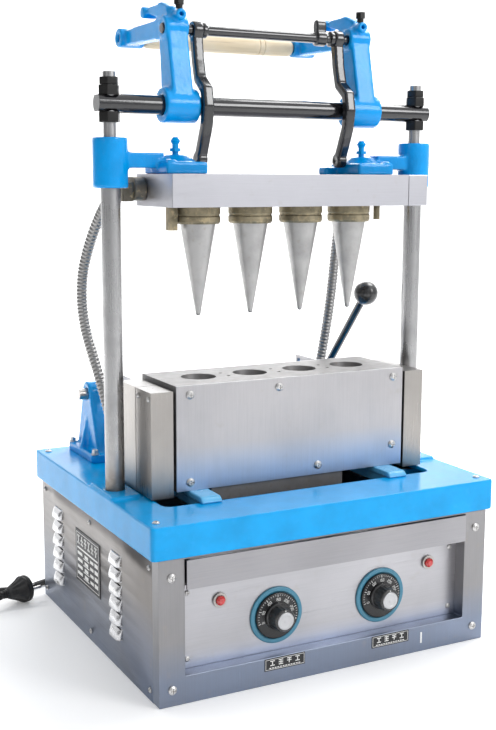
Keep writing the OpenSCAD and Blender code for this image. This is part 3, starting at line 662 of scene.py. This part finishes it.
def plug_pins():
    """Two round pins with blunt ends."""
    bm = bmesh.new()
    profile = rounded([(0, 45), (2.4, 45), (2.4, 62), (1.6, 64.6), (0, 64.9)], 0.8, 4)
    for offset in (-PIN_OFFSET, PIN_OFFSET):
        turn_into(bm, PLUG_AT + plug_side * offset, plug_axis, profile, 32)
    return finished("plug_pins", bm, pin_look, "base", (), 50)


def cord_boot():
    """Tapered strain relief that the cord leaves the gland through, with a groove every four millimetres."""
    length, root, taper = 28, 7.3, 0.07
    line, radii, gone = [], [], 0.0
    fine = through([Vector(p) for p in LEAD_IN], steps=36)
    for a, b in zip(fine, fine[1:]):
        if gone > length:
            break
        line.append(a)
        groove = 0.8 if gone > 2 and gone % 4 > 2.7 else 0
        radii.append(root - taper * gone - groove)
        gone += (b - a).length
    bm = bmesh.new()
    sweep_into(bm, line, radii)
    return finished("cord_boot", bm, plug_look, "base", (), 50)


cord_boot()
PLUG = [plug_body(), plug_sleeve(), plug_pins()]


# ---------------------------------------------------------------- finishes

# Painted reflection and shade: side, front, post and cover steel move towards a bluish reflection_hue low
# down, by cast
side_steel = brushed("side steel", (0.28, 0.265, 0.255), 0.36, (1, 0.02, 1), 0.35, cast=(0.0, 0.12, 0.75))
# Painted highlight: the louvre hoods are part of the side sheet, in a brighter copy of its steel
louvre_painted_highlight = brushed("louvre steel with painted highlight", (0.72, 0.72, 0.73), 0.26, (1, 0.1, 1), 0.3)
front_steel = brushed("front steel", (0.46, 0.455, 0.475), 0.36, (0.02, 1, 1),
                      cast=(0.0, 0.06, 0.7), reflection_hue=(0.5, 0.62, 0.88))
tray_steel = brushed("tray steel", (0.34, 0.335, 0.35), 0.36, (0.02, 1, 1))
post_steel = brushed("post steel", (0.28, 0.275, 0.28), 0.34, (1, 1, 0.02), cast=(0.03, 0.08, 0.6))
cover_steel = brushed("cover steel", (0.47, 0.46, 0.47), 0.42, (1, 1, 0.02), 0.25,
                      cast=(0.24, 0.29, 0.75), reflection_hue=(0.36, 0.5, 0.72))
# Painted shade on the end boxes' upward faces, by top
box_steel = brushed("end box steel", (0.38, 0.36, 0.34), 0.32, (1, 1, 0.02), 0.4, top=0.7)
head_steel = brushed("head steel", (0.51, 0.51, 0.545), 0.38, (0.02, 1, 1), 0.25)
blue = enamel("blue enamel", (0.0, 0.36, 0.8), coat=0.08, shine=0.25)
blue_cast = enamel("blue enamel on castings", (0.0, 0.32, 0.78), 0.15, 0.0005, coat=0.15, shine=0.3)
# Mould rails: worn enamel in a lighter blue, its lightness partly a painted sheen
worn_blue_with_painted_sheen = enamel("worn blue enamel with painted sheen", (0.12, 0.48, 0.8), 0.22, 0.0005, 0.9)
black_gloss = enamel("black enamel", (0.008, 0.008, 0.01), 0.12, 0.0001, 0.2, coat=0.55, shine=0.6)
column_steel = polished("column steel", (0.42, 0.418, 0.42), 0.22, foot=0.236)
shaft_steel = polished("shaft steel", (0.5, 0.48, 0.46), 0.25, (0.03, 1, 1))
screw_steel = polished("zinc screws", (0.62, 0.61, 0.6), 0.3, (1, 1, 1))
black_steel = enamel("blackened steel", (0.012, 0.0115, 0.011), 0.3, 0.0001, 0.3)
iron = ground_iron("ground iron", (0.27, 0.265, 0.265))
core_metal = cast_aluminium("core metal", (0.42, 0.415, 0.41))
bronze = stained_bronze("stained bronze", (0.36, 0.31, 0.21))
box_bronze = stained_bronze("wire box bronze", (0.2, 0.18, 0.15))
ceramic = moulded("ceramic", (0.75, 0.73, 0.66), 0.45, 0.1)
phenolic = moulded("phenolic", (0.014, 0.014, 0.015), 0.22, 0.5)
conduit_metal = brushed("conduit metal", (0.34, 0.335, 0.33), 0.36, (1, 1, 1), 0.4)
lens_red = lamp_glass("lamp lens", (0.42, 0.008, 0.012))
teal_print = printed("teal dial ring", (0.05, 0.21, 0.31), 0.25)
disc_black = printed("black dial disc", (0.012, 0.012, 0.013), 0.16)
white_ink = printed("white ink", (0.82, 0.82, 0.8))
cap_metal = polished("knob cap", (0.5, 0.5, 0.51), 0.34, (1, 1, 1))
bezel_metal = polished("lamp bezel", (0.42, 0.4, 0.38), 0.28, (1, 1, 1))
black_foil = printed("black foil", (0.012, 0.012, 0.014), 0.35)


# ---------------------------------------------------------------- cabinet

# Louvres: length, height, how far they stand out, and the middles of their columns and rows, in mm
HOOD_L, HOOD_H, HOOD_OUT = 36.0, 15.0, 6.9
HOOD_YS = (-78.0, 150.0)
HOOD_ZS = [147 - 19.4 * i for i in range(6)]
HOOD_GRID = (28, 10)
# Front face of the cabinet, outer face of its side panels, and the panels' reach in Y and Z
FRONT_Y = -215.0
WALL = 241.0
SIDE_Y = (-195.9, 225.0)
SIDE_Z = (0.0, 184.0)


def hood_out(y, z):
    """How far a louvre stands proud at y along it and z up it, from its middle, in mm."""
    across = max(0.0, 1 - abs(2 * y / HOOD_L) ** 5) ** 0.5
    down = (HOOD_H / 2 - z) / HOOD_H
    return HOOD_OUT * across * math.sin(math.pi / 2 * min(1.0, max(0.0, down)) ** 0.75)


def side_panel(node, s):
    """Sheet with pressed louvres, with a folded top and a slide for the tray; s is the sign of its X."""
    bm = bmesh.new()
    rows = [SIDE_Z[0]]
    for z in reversed(HOOD_ZS):
        rows += [z - HOOD_H / 2, z + HOOD_H / 2]
    rows.append(SIDE_Z[1])
    columns = [SIDE_Y[0]]
    for y in HOOD_YS:
        columns += [y - HOOD_L / 2, y + HOOD_L / 2]
    columns.append(SIDE_Y[1])
    x = s * WALL
    for i, (za, zb) in enumerate(zip(rows, rows[1:])):
        for j, (ya, yb) in enumerate(zip(columns, columns[1:])):
            if i % 2 and j % 2:
                continue
            corners = ((x, ya, za), (x, yb, za), (x, yb, zb), (x, ya, zb))
            bm.faces.new([bm.verts.new(Vector(p) * MM) for p in corners])
    n, m = HOOD_GRID
    for yc in HOOD_YS:
        for zc in HOOD_ZS:
            grid = {}
            for i in range(n + 1):
                for j in range(m + 1):
                    y = HOOD_L * (i / n - 0.5)
                    z = HOOD_H * (0.5 - j / m)
                    grid[i, j] = bm.verts.new(Vector((s * (WALL + hood_out(y, z)), yc + y, zc + z)) * MM)
            for i in range(n):
                for j in range(m):
                    face = bm.faces.new((grid[i, j], grid[i + 1, j], grid[i + 1, j + 1], grid[i, j + 1]))
                    # Hood faces take the brighter louvre steel, a painted highlight
                    face.material_index = 1
    bmesh.ops.remove_doubles(bm, verts=bm.verts, dist=1e-5)
    bmesh.ops.recalc_face_normals(bm, faces=bm.faces)
    piece = finished(node + "_look", bm, side_steel, "base", [node], 50)
    piece.data.materials.append(louvre_painted_highlight)
    solid = piece.modifiers.new("thickness", "SOLIDIFY")
    solid.thickness = 1.2 * MM
    solid.offset = -1.0
    applied(piece)
    inner = bmesh.new()
    fold = ((227, SIDE_Y[0], 182.4), (239.4, 223, 183.9))
    slide = ((188, -193, 142.5), (239.4, 180, 144))
    for lo, hi in (fold, slide):
        a, b = sorted((s * lo[0], s * hi[0]))
        box_into(inner, (a, lo[1], lo[2]), (b, hi[1], hi[2]))
    finished(node + "_look_folds", inner, side_steel, "base")


side_panel("side_panel_left", -1)
side_panel("side_panel_right", 1)

carried("front_frame", post_steel, 1.2, 3)
carried("back_panel", side_steel, 0.4)
carried("base_pan", side_steel, 0.5)
carried("control_panel", front_steel, 0.3)
carried("cone_tray", tray_steel, 0.8, 3)
carried("thermostats", phenolic, 0.6)
carried("terminal_block", ceramic, 0.5)
carried("cable_gland", phenolic, 0.5)
carried("lamp_bezels", bezel_metal, 0.6, 3)
carried("lamp_lenses", lens_red, 0.8, 3)
for node in ("front_labels", "nameplate"):
    carried(node, black_foil, 0.2)

# The plate is a casting too, under thick and uneven enamel
softened("top_plate", blue, 1.5, 4)


# ---------------------------------------------------------------- screws

carried("cabinet_screws", screw_steel, 0.25, 2, 30)
carried("mould_screws", screw_steel, 0.25, 2, 30)
carried("column_nuts", black_steel, 0.8, 2, 30)
carried("arm_bolts", black_steel, 0.8, 2, 30)


# ---------------------------------------------------------------- dials, lamps and labels

PANEL_Y = -196.0
DIAL_XS = {"dial_left": -73.0, "dial_right": 83.0}
DIAL_Z = 83.0
# The scale: where it starts, how far it sweeps, in degrees, and its temperatures with five steps between them
SCALE_START, SCALE_SWEEP = 196, 212
TEMPERATURES = ("0", "50", "100", "150", "200", "250", "300")
FLUTES = 20


def strip_into(bm, a, b, width, face, depth=0.12):
    """A printed stroke between two points of a plane facing the given direction, in mm."""
    a, b, face = Vector(a), Vector(b), Vector(face)
    along = (b - a).normalized()
    side = along.cross(face).normalized() * width / 2
    lift = face * depth
    corners = [a + side, a - side, b - side, b + side]
    low = [bm.verts.new(c * MM) for c in corners]
    high = [bm.verts.new((c + lift) * MM) for c in corners]
    bm.faces.new(high)
    for i in range(4):
        j = (i + 1) % 4
        bm.faces.new((low[i], low[j], high[j], high[i]))


# Seven-stroke figures: which of the strokes each digit uses, and where the strokes run in a 2 by 4 cell
STROKES = [
    ((0, 4), (2, 4)), ((0, 2), (0, 4)), ((2, 2), (2, 4)), ((0, 2), (2, 2)),
    ((0, 0), (0, 2)), ((2, 0), (2, 2)), ((0, 0), (2, 0)),
]
DIGITS = {
    "0": (0, 1, 2, 4, 5, 6),
    "1": (2, 5),
    "2": (0, 2, 3, 4, 6),
    "3": (0, 2, 3, 5, 6),
    "5": (0, 1, 3, 5, 6),
}


def figure_into(bm, text, at, right, up, face, size, width):
    """Plain digits of a height size, centred on a point of a plane."""
    step = size * 0.78
    scale = size / 4
    for i, digit in enumerate(text):
        corner = at + right * (step * (i - (len(text) - 1) / 2) - size / 4) - up * size / 2
        for k in DIGITS[digit]:
            a, b = [corner + right * x * scale + up * y * scale for x, y in STROKES[k]]
            strip_into(bm, a, b, width, face)


def dial_disc(name, x):
    """Domed black scale disc with ticks and temperatures round its upper part."""
    at = (x, PANEL_Y - 2.2, DIAL_Z)
    bm = bmesh.new()
    turn_into(bm, at, -Y, rounded([(0, 0), (30, 0), (30, 2.2), (28.6, 3.2), (0, 3.3)], 0.7, 4), 96)
    finished(name + "_disc", bm, disc_black, name, [name], 40)
    ink = bmesh.new()
    y = PANEL_Y - 5.42
    ticks = 5 * (len(TEMPERATURES) - 1)
    for i in range(ticks + 1):
        a = math.radians(SCALE_START - SCALE_SWEEP * i / ticks)
        inner, width = (26.2, 0.35) if i % 5 else (24.6, 0.6)
        foot, tip = [Vector((x + r * math.cos(a), y, DIAL_Z + r * math.sin(a))) for r in (inner, 28.2)]
        strip_into(ink, foot, tip, width, -Y)
    for i, text in enumerate(TEMPERATURES):
        a = math.radians(SCALE_START - SCALE_SWEEP * i / (len(TEMPERATURES) - 1))
        outward = Vector((math.cos(a), 0, math.sin(a)))
        right = Vector((math.sin(a), 0, -math.cos(a)))
        figure_into(ink, text, Vector((x, y, DIAL_Z)) + outward * 21.4, right, outward, -Y, 3.4, 0.45)
    finished(name + "_scale", ink, white_ink, name, (), 0)


def dial_knob(name, x):
    """Tapered knob with fine flutes, a skirt, a pointer line and a turned metal cap."""
    at = Vector((x, PANEL_Y - 5.5, DIAL_Z))
    bm = bmesh.new()
    profile = rounded([
        (0, 0), (17.6, 0), (17.6, 2.6), (16.4, 3.6), (15.9, 4.2), (14.6, 18.4), (13.4, 20.1), (11.7, 20.1),
        (11.6, 19.6), (0, 19.6),
    ], 0.6, 3)
    turn_into(bm, at, -Y, profile, 120)
    for v in bm.verts:
        p = v.co / MM - at
        out = Vector((p.x, 0, p.z))
        if 4.4 < -p.y < 19.2 and out.length > 12:
            v.co += out.normalized() * MM * 0.28 * math.cos(FLUTES * math.atan2(out.z, out.x))
    finished(name + "_knob", bm, phenolic, name, (), 40)
    cap = bmesh.new()
    profile = rounded([
        (0, 19.4), (11.4, 19.4), (11.4, 20.6), (10.6, 21.4), (7.4, 21.5), (7, 21.15),
        (2.4, 21.15), (2, 21.4), (0, 21.45),
    ], 0.25, 3)
    turn_into(cap, at, -Y, profile, 72)
    finished(name + "_cap", cap, cap_metal, name, (), 40)
    ink = bmesh.new()
    top = Vector((x, PANEL_Y - 7, DIAL_Z))
    strip_into(ink, top + Z * 16.9, top + Z * 16.9 - Y * 0.6, 1.0, Z, 0.9)
    strip_into(ink, (x, at.y - 20.1, DIAL_Z + 11.9), (x, at.y - 20.1, DIAL_Z + 13.6), 1.1, -Y, 0.12)
    finished(name + "_pointer", ink, white_ink, name, (), 0)


for dial, dial_x in DIAL_XS.items():
    dial_disc(dial, dial_x)
    dial_knob(dial, dial_x)


def bezels():
    """Teal rings round the dials, each with the plate behind the dial."""
    bm = bmesh.new()
    ring = rounded([(31, 0.4), (31, 2.1), (31.6, 2.9), (35.8, 2.9), (37, 2.0), (37, 0), (31, 0)], 0.5, 3)
    plate = [(0, 0.1), (31.2, 0.1), (31.2, 0.5), (0, 0.5)]
    for x in DIAL_XS.values():
        turn_into(bm, (x, PANEL_Y, DIAL_Z), -Y, ring, 96)
        turn_into(bm, (x, PANEL_Y, DIAL_Z), -Y, plate, 64)
    finished("dial_bezels_look", bm, teal_print, "base", ["dial_bezels"], 40)


bezels()


def label_into(bm, x):
    """One front label: a frame, four block marks and a row of dashes under them."""
    y = FRONT_Y - 0.62
    for edge in (x - 27.5, x + 27.5):
        strip_into(bm, (edge, y, 20.4), (edge, y, 33.6), 0.5, -Y)
    for z in (20.6, 33.4):
        strip_into(bm, (x - 27.5, y, z), (x + 27.5, y, z), 0.5, -Y)
    low, high = 25.2, 32.0
    for cell, bars in zip((-18.0, -6.0, 6.0, 18.0), ((0, 2), (0, 1, 2), (1, 2), (0, 2))):
        strip_into(bm, (x + cell, y, low), (x + cell, y, high), 1.2, -Y)
        for bar in bars:
            z = low + 0.6 + bar * (high - low - 1.2) / 2
            strip_into(bm, (x + cell - 3.1, y, z), (x + cell + 3.1, y, z), 1.2, -Y)
    for k in range(12):
        at = x - 22.5 + 3.8 * k
        strip_into(bm, (at, y, 22.3), (at + 2.6, y, 22.3), 1.1, -Y)


def nameplate_into(bm):
    """The nameplate on the left side: a frame, a row of block marks, a line and a table of bars."""
    x = -WALL - 0.82
    for z in (142, 76):
        strip_into(bm, (x, -15, z), (x, 72, z), 0.8, -X)
    for y in (-15, 72):
        strip_into(bm, (x, y, 76), (x, y, 142), 0.8, -X)
    for k in range(6):
        y = 64 - 13.6 * k
        strip_into(bm, (x, y, 125.5), (x, y, 139), 2.8, -X)
        for z in (127, 132.3, 137.6):
            if (k + int(z)) % 3:
                strip_into(bm, (x, y + 4.6, z), (x, y - 4.6, z), 2.6, -X)
    strip_into(bm, (x, 69, 120.5), (x, -12, 120.5), 2.4, -X)
    # Start and end along Y, offset in Z and width of the bars in each row of the table
    bars = ((68, 49, 0, 4.4), (45, 22, -3.2, 1.4), (40, 26, 0.6, 4.6), (18, 5, 0, 4.4), (1, -12, 0.4, 5.6))
    for row in range(4):
        z = 113 - 9.6 * row
        for y0, y1, dz, width in bars:
            strip_into(bm, (x, y0, z + dz), (x, y1, z + dz), width, -X)


def printed_marks():
    """Generic white marks on the two labels, on the front's lower rail and on the nameplate."""
    bm = bmesh.new()
    for x in (-70.0, 89.0):
        label_into(bm, x)
    y = FRONT_Y - 0.02
    strip_into(bm, (139, y, 12), (139, y, 27), 2.4, -Y)
    nameplate_into(bm)
    finished("printed_marks", bm, white_ink, "base", (), 0)


printed_marks()


# ---------------------------------------------------------------- press: columns, crossbar, head, lever

carried("columns", column_steel, 0.4)
carried("crossbar", black_gloss, 0.8, 3)
carried("guide_bushes", bronze, 0.3)
carried("lever_shaft", shaft_steel, 0.5)
carried("handle_bar", shaft_steel, 0.6)
carried("head_block", iron, 0.5)
carried("head_cover", head_steel, 1.0, 3)
carried("terminal_cover", head_steel, 1.2, 3)
carried("head_heaters", shaft_steel, 0.3)
carried("stop_pins", bronze, 0.8)
carried("core_collars", bronze, 0.3)
carried("oilers", blue, 0.6, 2)
carried("ball_lever", black_gloss, 0.6)

softened("lever_arms", blue_cast, 1.8, 7)
softened("head_brackets", blue_cast, 1.8, 6)
softened("shaft_pedestals", blue_cast, 1.8, 6)
softened("mould_rails", worn_blue_with_painted_sheen, 1.6, 4)
softened("shaft_cranks", blue_cast, 1.2, 4)
softened("link_bars", black_gloss, 1.1, 18, swell=0.5)
softened("top_rod", black_gloss, 1.1, 3)
softened("wire_box", box_bronze, 1.1, 3)


def ball():
    """Ball with a short neck, along the line from the shaft of the mould lever."""
    lo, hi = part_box("ball_knob")
    centre = (Vector(lo) + Vector(hi)) / 2 / MM
    shaft = Vector((209, 162, 316))
    axis = (centre - shaft).normalized()
    r, steps = 18, 24
    bm = bmesh.new()
    profile = [(0, -17.6), (8.6, -17.0), (9.2, -15.6)]
    for i in range(1, steps):
        a = math.radians(-55 + 145 * i / steps)
        profile.append((r * math.cos(a), r * math.sin(a)))
    profile.append((0, r))
    turn_into(bm, centre, axis, profile, 64)
    finished("ball_knob_look", bm, phenolic, "mould_lever", ["ball_knob"], 60)


ball()


def grip():
    """Turned wooden grip with two pairs of grooves and rounded ends."""
    lo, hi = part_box("wooden_grip")
    at = (Vector(lo) + Vector(hi)) / 2 / MM
    half = (hi[0] - lo[0]) / 2 / MM
    wood = turned_wood("turned wood", (0.80, 0.65, 0.43))
    profile = [(5.7, -half), (8.2, -half)]
    for i in range(1, 9):
        a = math.pi / 2 * i / 8
        r, end = 8.4 + 3.6 * math.sin(a), half - 9 * (1 - math.cos(a))
        profile += [(r, -end), (r, end)]
    for groove in (-68, -60, 60, 68):
        profile += [(12.45, groove - 1.6), (11.5, groove - 0.6), (11.4, groove + 0.6), (12.45, groove + 1.6)]
    profile += [(12.5, -40), (8.2, half), (5.7, half)]
    profile.sort(key=lambda p: p[1])
    bm = bmesh.new()
    turn_into(bm, at, X, profile, 64, closed=True)
    finished("wooden_grip_look", bm, wood, "lever", ["wooden_grip"], 40)


grip()


def cores():
    """Four cone cores, each turned from one piece, with a blunt tip and a seasoned skin."""
    pitch, part_y = 76, -56
    tip_r, tip_z = 3.1, 451.3
    cone_r, cone_z = 23, 568
    rings = 23
    profile = [(0, 449.5), (1.2, 449.6), (2.3, 450.2), (tip_r, tip_z)]
    for k in range(1, rings + 1):
        t = k / rings
        profile.append((tip_r + t * (cone_r - tip_r), tip_z + t * (cone_z - tip_z)))
    profile += [(20, 568.2), (20, 589.8), (0, 589.8)]
    bm = bmesh.new()
    for i in range(4):
        turn_into(bm, ((i - 1.5) * pitch, part_y, 0), Z, profile, 72)
    finished("cone_cores_look", bm, core_metal, "head", ["cone_cores"], 40)


cores()


# ---------------------------------------------------------------- moulds

carried("mould_front", iron, 0.5)
carried("mould_rear", iron, 0.5)
carried("mould_front_cover", cover_steel, 0.5)
carried("mould_rear_cover", cover_steel, 0.5)
carried("mould_front_ends", box_steel, 1.0, 3)
carried("mould_rear_ends", box_steel, 1.0, 3)
carried("mould_front_heaters", shaft_steel, 0.3)
carried("mould_rear_heaters", shaft_steel, 0.3)


# ---------------------------------------------------------------- conduits between the head and the plate

# From head to plate, in mm
ROUTES = {
    "conduit_left": [
        (-197, 8.2, 608), (-198, 30, 603), (-204, 56, 578), (-211, 80, 540), (-216, 96, 500),
        (-217, 101, 460), (-214, 97, 420), (-207, 86, 380), (-200, 72, 340), (-194, 60, 300),
        (-190, 52, 262), (-189, 50, 226),
    ],
    "conduit_right": [
        (160, 6.2, 606), (160, 25, 603), (162, 42, 576), (162, 50, 540), (160, 54, 500), (157, 56, 460),
        (152, 57, 420), (145, 57, 380), (137, 57, 340), (127, 58, 300), (115, 60, 262), (112, 60, 226),
    ],
}
# Radii of the rings of points that make one corrugation, and the least distance between two rings
CORRUGATION = (7.5, 7.45, 6.9, 6.35, 6.9)
RING_STEP = 0.75


def conduit(node, route):
    """Corrugated metal hose along a route."""
    line = through([Vector(p) for p in route], steps=40)
    spaced, gone = [line[0]], 0.0
    for a, b in zip(line, line[1:]):
        gone += (b - a).length
        if gone >= RING_STEP:
            spaced.append(b)
            gone = 0.0
    bm = bmesh.new()
    sweep_into(bm, spaced, [CORRUGATION[i % len(CORRUGATION)] for i in range(len(spaced))])
    obj = finished(node + "_look", bm, conduit_metal, None, [node], 60)
    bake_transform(obj)


for node, route in ROUTES.items():
    conduit(node, route)


def studio():
    """Plain pale floor with a cove behind it, turned to face the camera; it glows a little."""
    floor = Shader("studio floor", (0.93, 0.93, 0.93), 0.7, specular=0.15)
    floor.tint(floor.remap(floor.noise(2.0, 2), 0.4, 0.7, 0, 0.06), (0.88, 0.88, 0.88))
    floor.shader.inputs["Emission Color"].default_value = (1, 1, 1, 1)
    floor.shader.inputs["Emission Strength"].default_value = 0.15
    bm = bmesh.new()
    half_width, near, far, cove, rise = 14.0, -8.0, 5.0, 2.0, 6.0
    profile = [(near, 0.0), (far, 0.0)]
    for i in range(1, 13):
        a = math.pi / 2 * i / 12
        profile.append((far + cove * math.sin(a), cove - cove * math.cos(a)))
    profile.append((far + cove, rise))
    for (y0, z0), (y1, z1) in zip(profile, profile[1:]):
        corners = ((-half_width, y0, z0), (half_width, y0, z0), (half_width, y1, z1), (-half_width, y1, z1))
        bm.faces.new([bm.verts.new(p) for p in corners])
    bmesh.ops.remove_doubles(bm, verts=bm.verts, dist=1e-5)
    bmesh.ops.recalc_face_normals(bm, faces=bm.faces)
    mesh = bpy.data.meshes.new("studio_floor")
    bm.to_mesh(mesh)
    bm.free()
    obj = bpy.data.objects.new("studio_floor", mesh)
    bpy.context.scene.collection.objects.link(obj)
    mesh.materials.append(floor.done())
    mesh.transform(Matrix.Rotation(math.radians(-27.6), 4, "Z"))
    shade(mesh, 60)


def soft_box(name, at, aim, width, height, power):
    """A rectangular light aimed at a point, with its sides in metres and its power in watts."""
    data = bpy.data.lights.new(name, "AREA")
    data.shape = "RECTANGLE"
    data.size, data.size_y = width, height
    data.energy = power
    obj = bpy.data.objects.new(name, data)
    obj.location = at
    obj.rotation_mode = "QUATERNION"
    obj.rotation_quaternion = (Vector(aim) - Vector(at)).to_track_quat("-Z", "Y")
    bpy.context.scene.collection.objects.link(obj)


def world():
    """Pale surroundings, dimmer to the object's left and a little dimmer low down."""
    data = bpy.data.worlds.new("studio")
    bpy.context.scene.world = data
    data.use_nodes = True
    tree = data.node_tree
    back = tree.nodes["Background"]
    place = tree.nodes.new("ShaderNodeTexCoord")
    split = tree.nodes.new("ShaderNodeSeparateXYZ")
    tree.links.new(place.outputs["Generated"], split.inputs[0])
    ramps = []
    for axis, low, high, dim in (("X", -1.0, 0.2, 0.25), ("Z", -0.1, 0.6, 0.75)):
        ramp = tree.nodes.new("ShaderNodeMapRange")
        ramp.interpolation_type = "SMOOTHSTEP"
        for name, value in (("From Min", low), ("From Max", high), ("To Min", dim), ("To Max", 1.0)):
            ramp.inputs[name].default_value = value
        tree.links.new(split.outputs[axis], ramp.inputs["Value"])
        ramps.append(ramp.outputs["Result"])
    both = tree.nodes.new("ShaderNodeMath")
    both.operation = "MULTIPLY"
    tree.links.new(ramps[0], both.inputs[0])
    tree.links.new(ramps[1], both.inputs[1])
    tree.links.new(both.outputs[0], back.inputs["Strength"])
    back.inputs["Color"].default_value = (0.97, 0.98, 1.0, 1)


studio()
world()
bpy.context.scene.view_settings.view_transform = "Standard"
soft_box("key", (1.6, -2.6, 2.0), (0, 0, 0.4), 1.3, 1.3, 40)
soft_box("fill", (-2.6, -1.2, 1.6), (0, 0, 0.4), 1.0, 1.4, 4)
soft_box("top", (1.3, 0.2, 2.4), (0, 0, 0.4), 1.0, 1.0, 26)
soft_box("rim", (1.2, 2.4, 1.8), (0, 0, 0.5), 1.6, 1.2, 24)
soft_box("backdrop", (-2.0, 2.2, 3.6), (-2.0, 6.0, 0.6), 3.0, 3.0, 240)
soft_box("backdrop_right", (3.0, 1.6, 3.4), (4.6, 4.0, 0.0), 2.4, 2.4, 150)

bpy.context.view_layer.update()
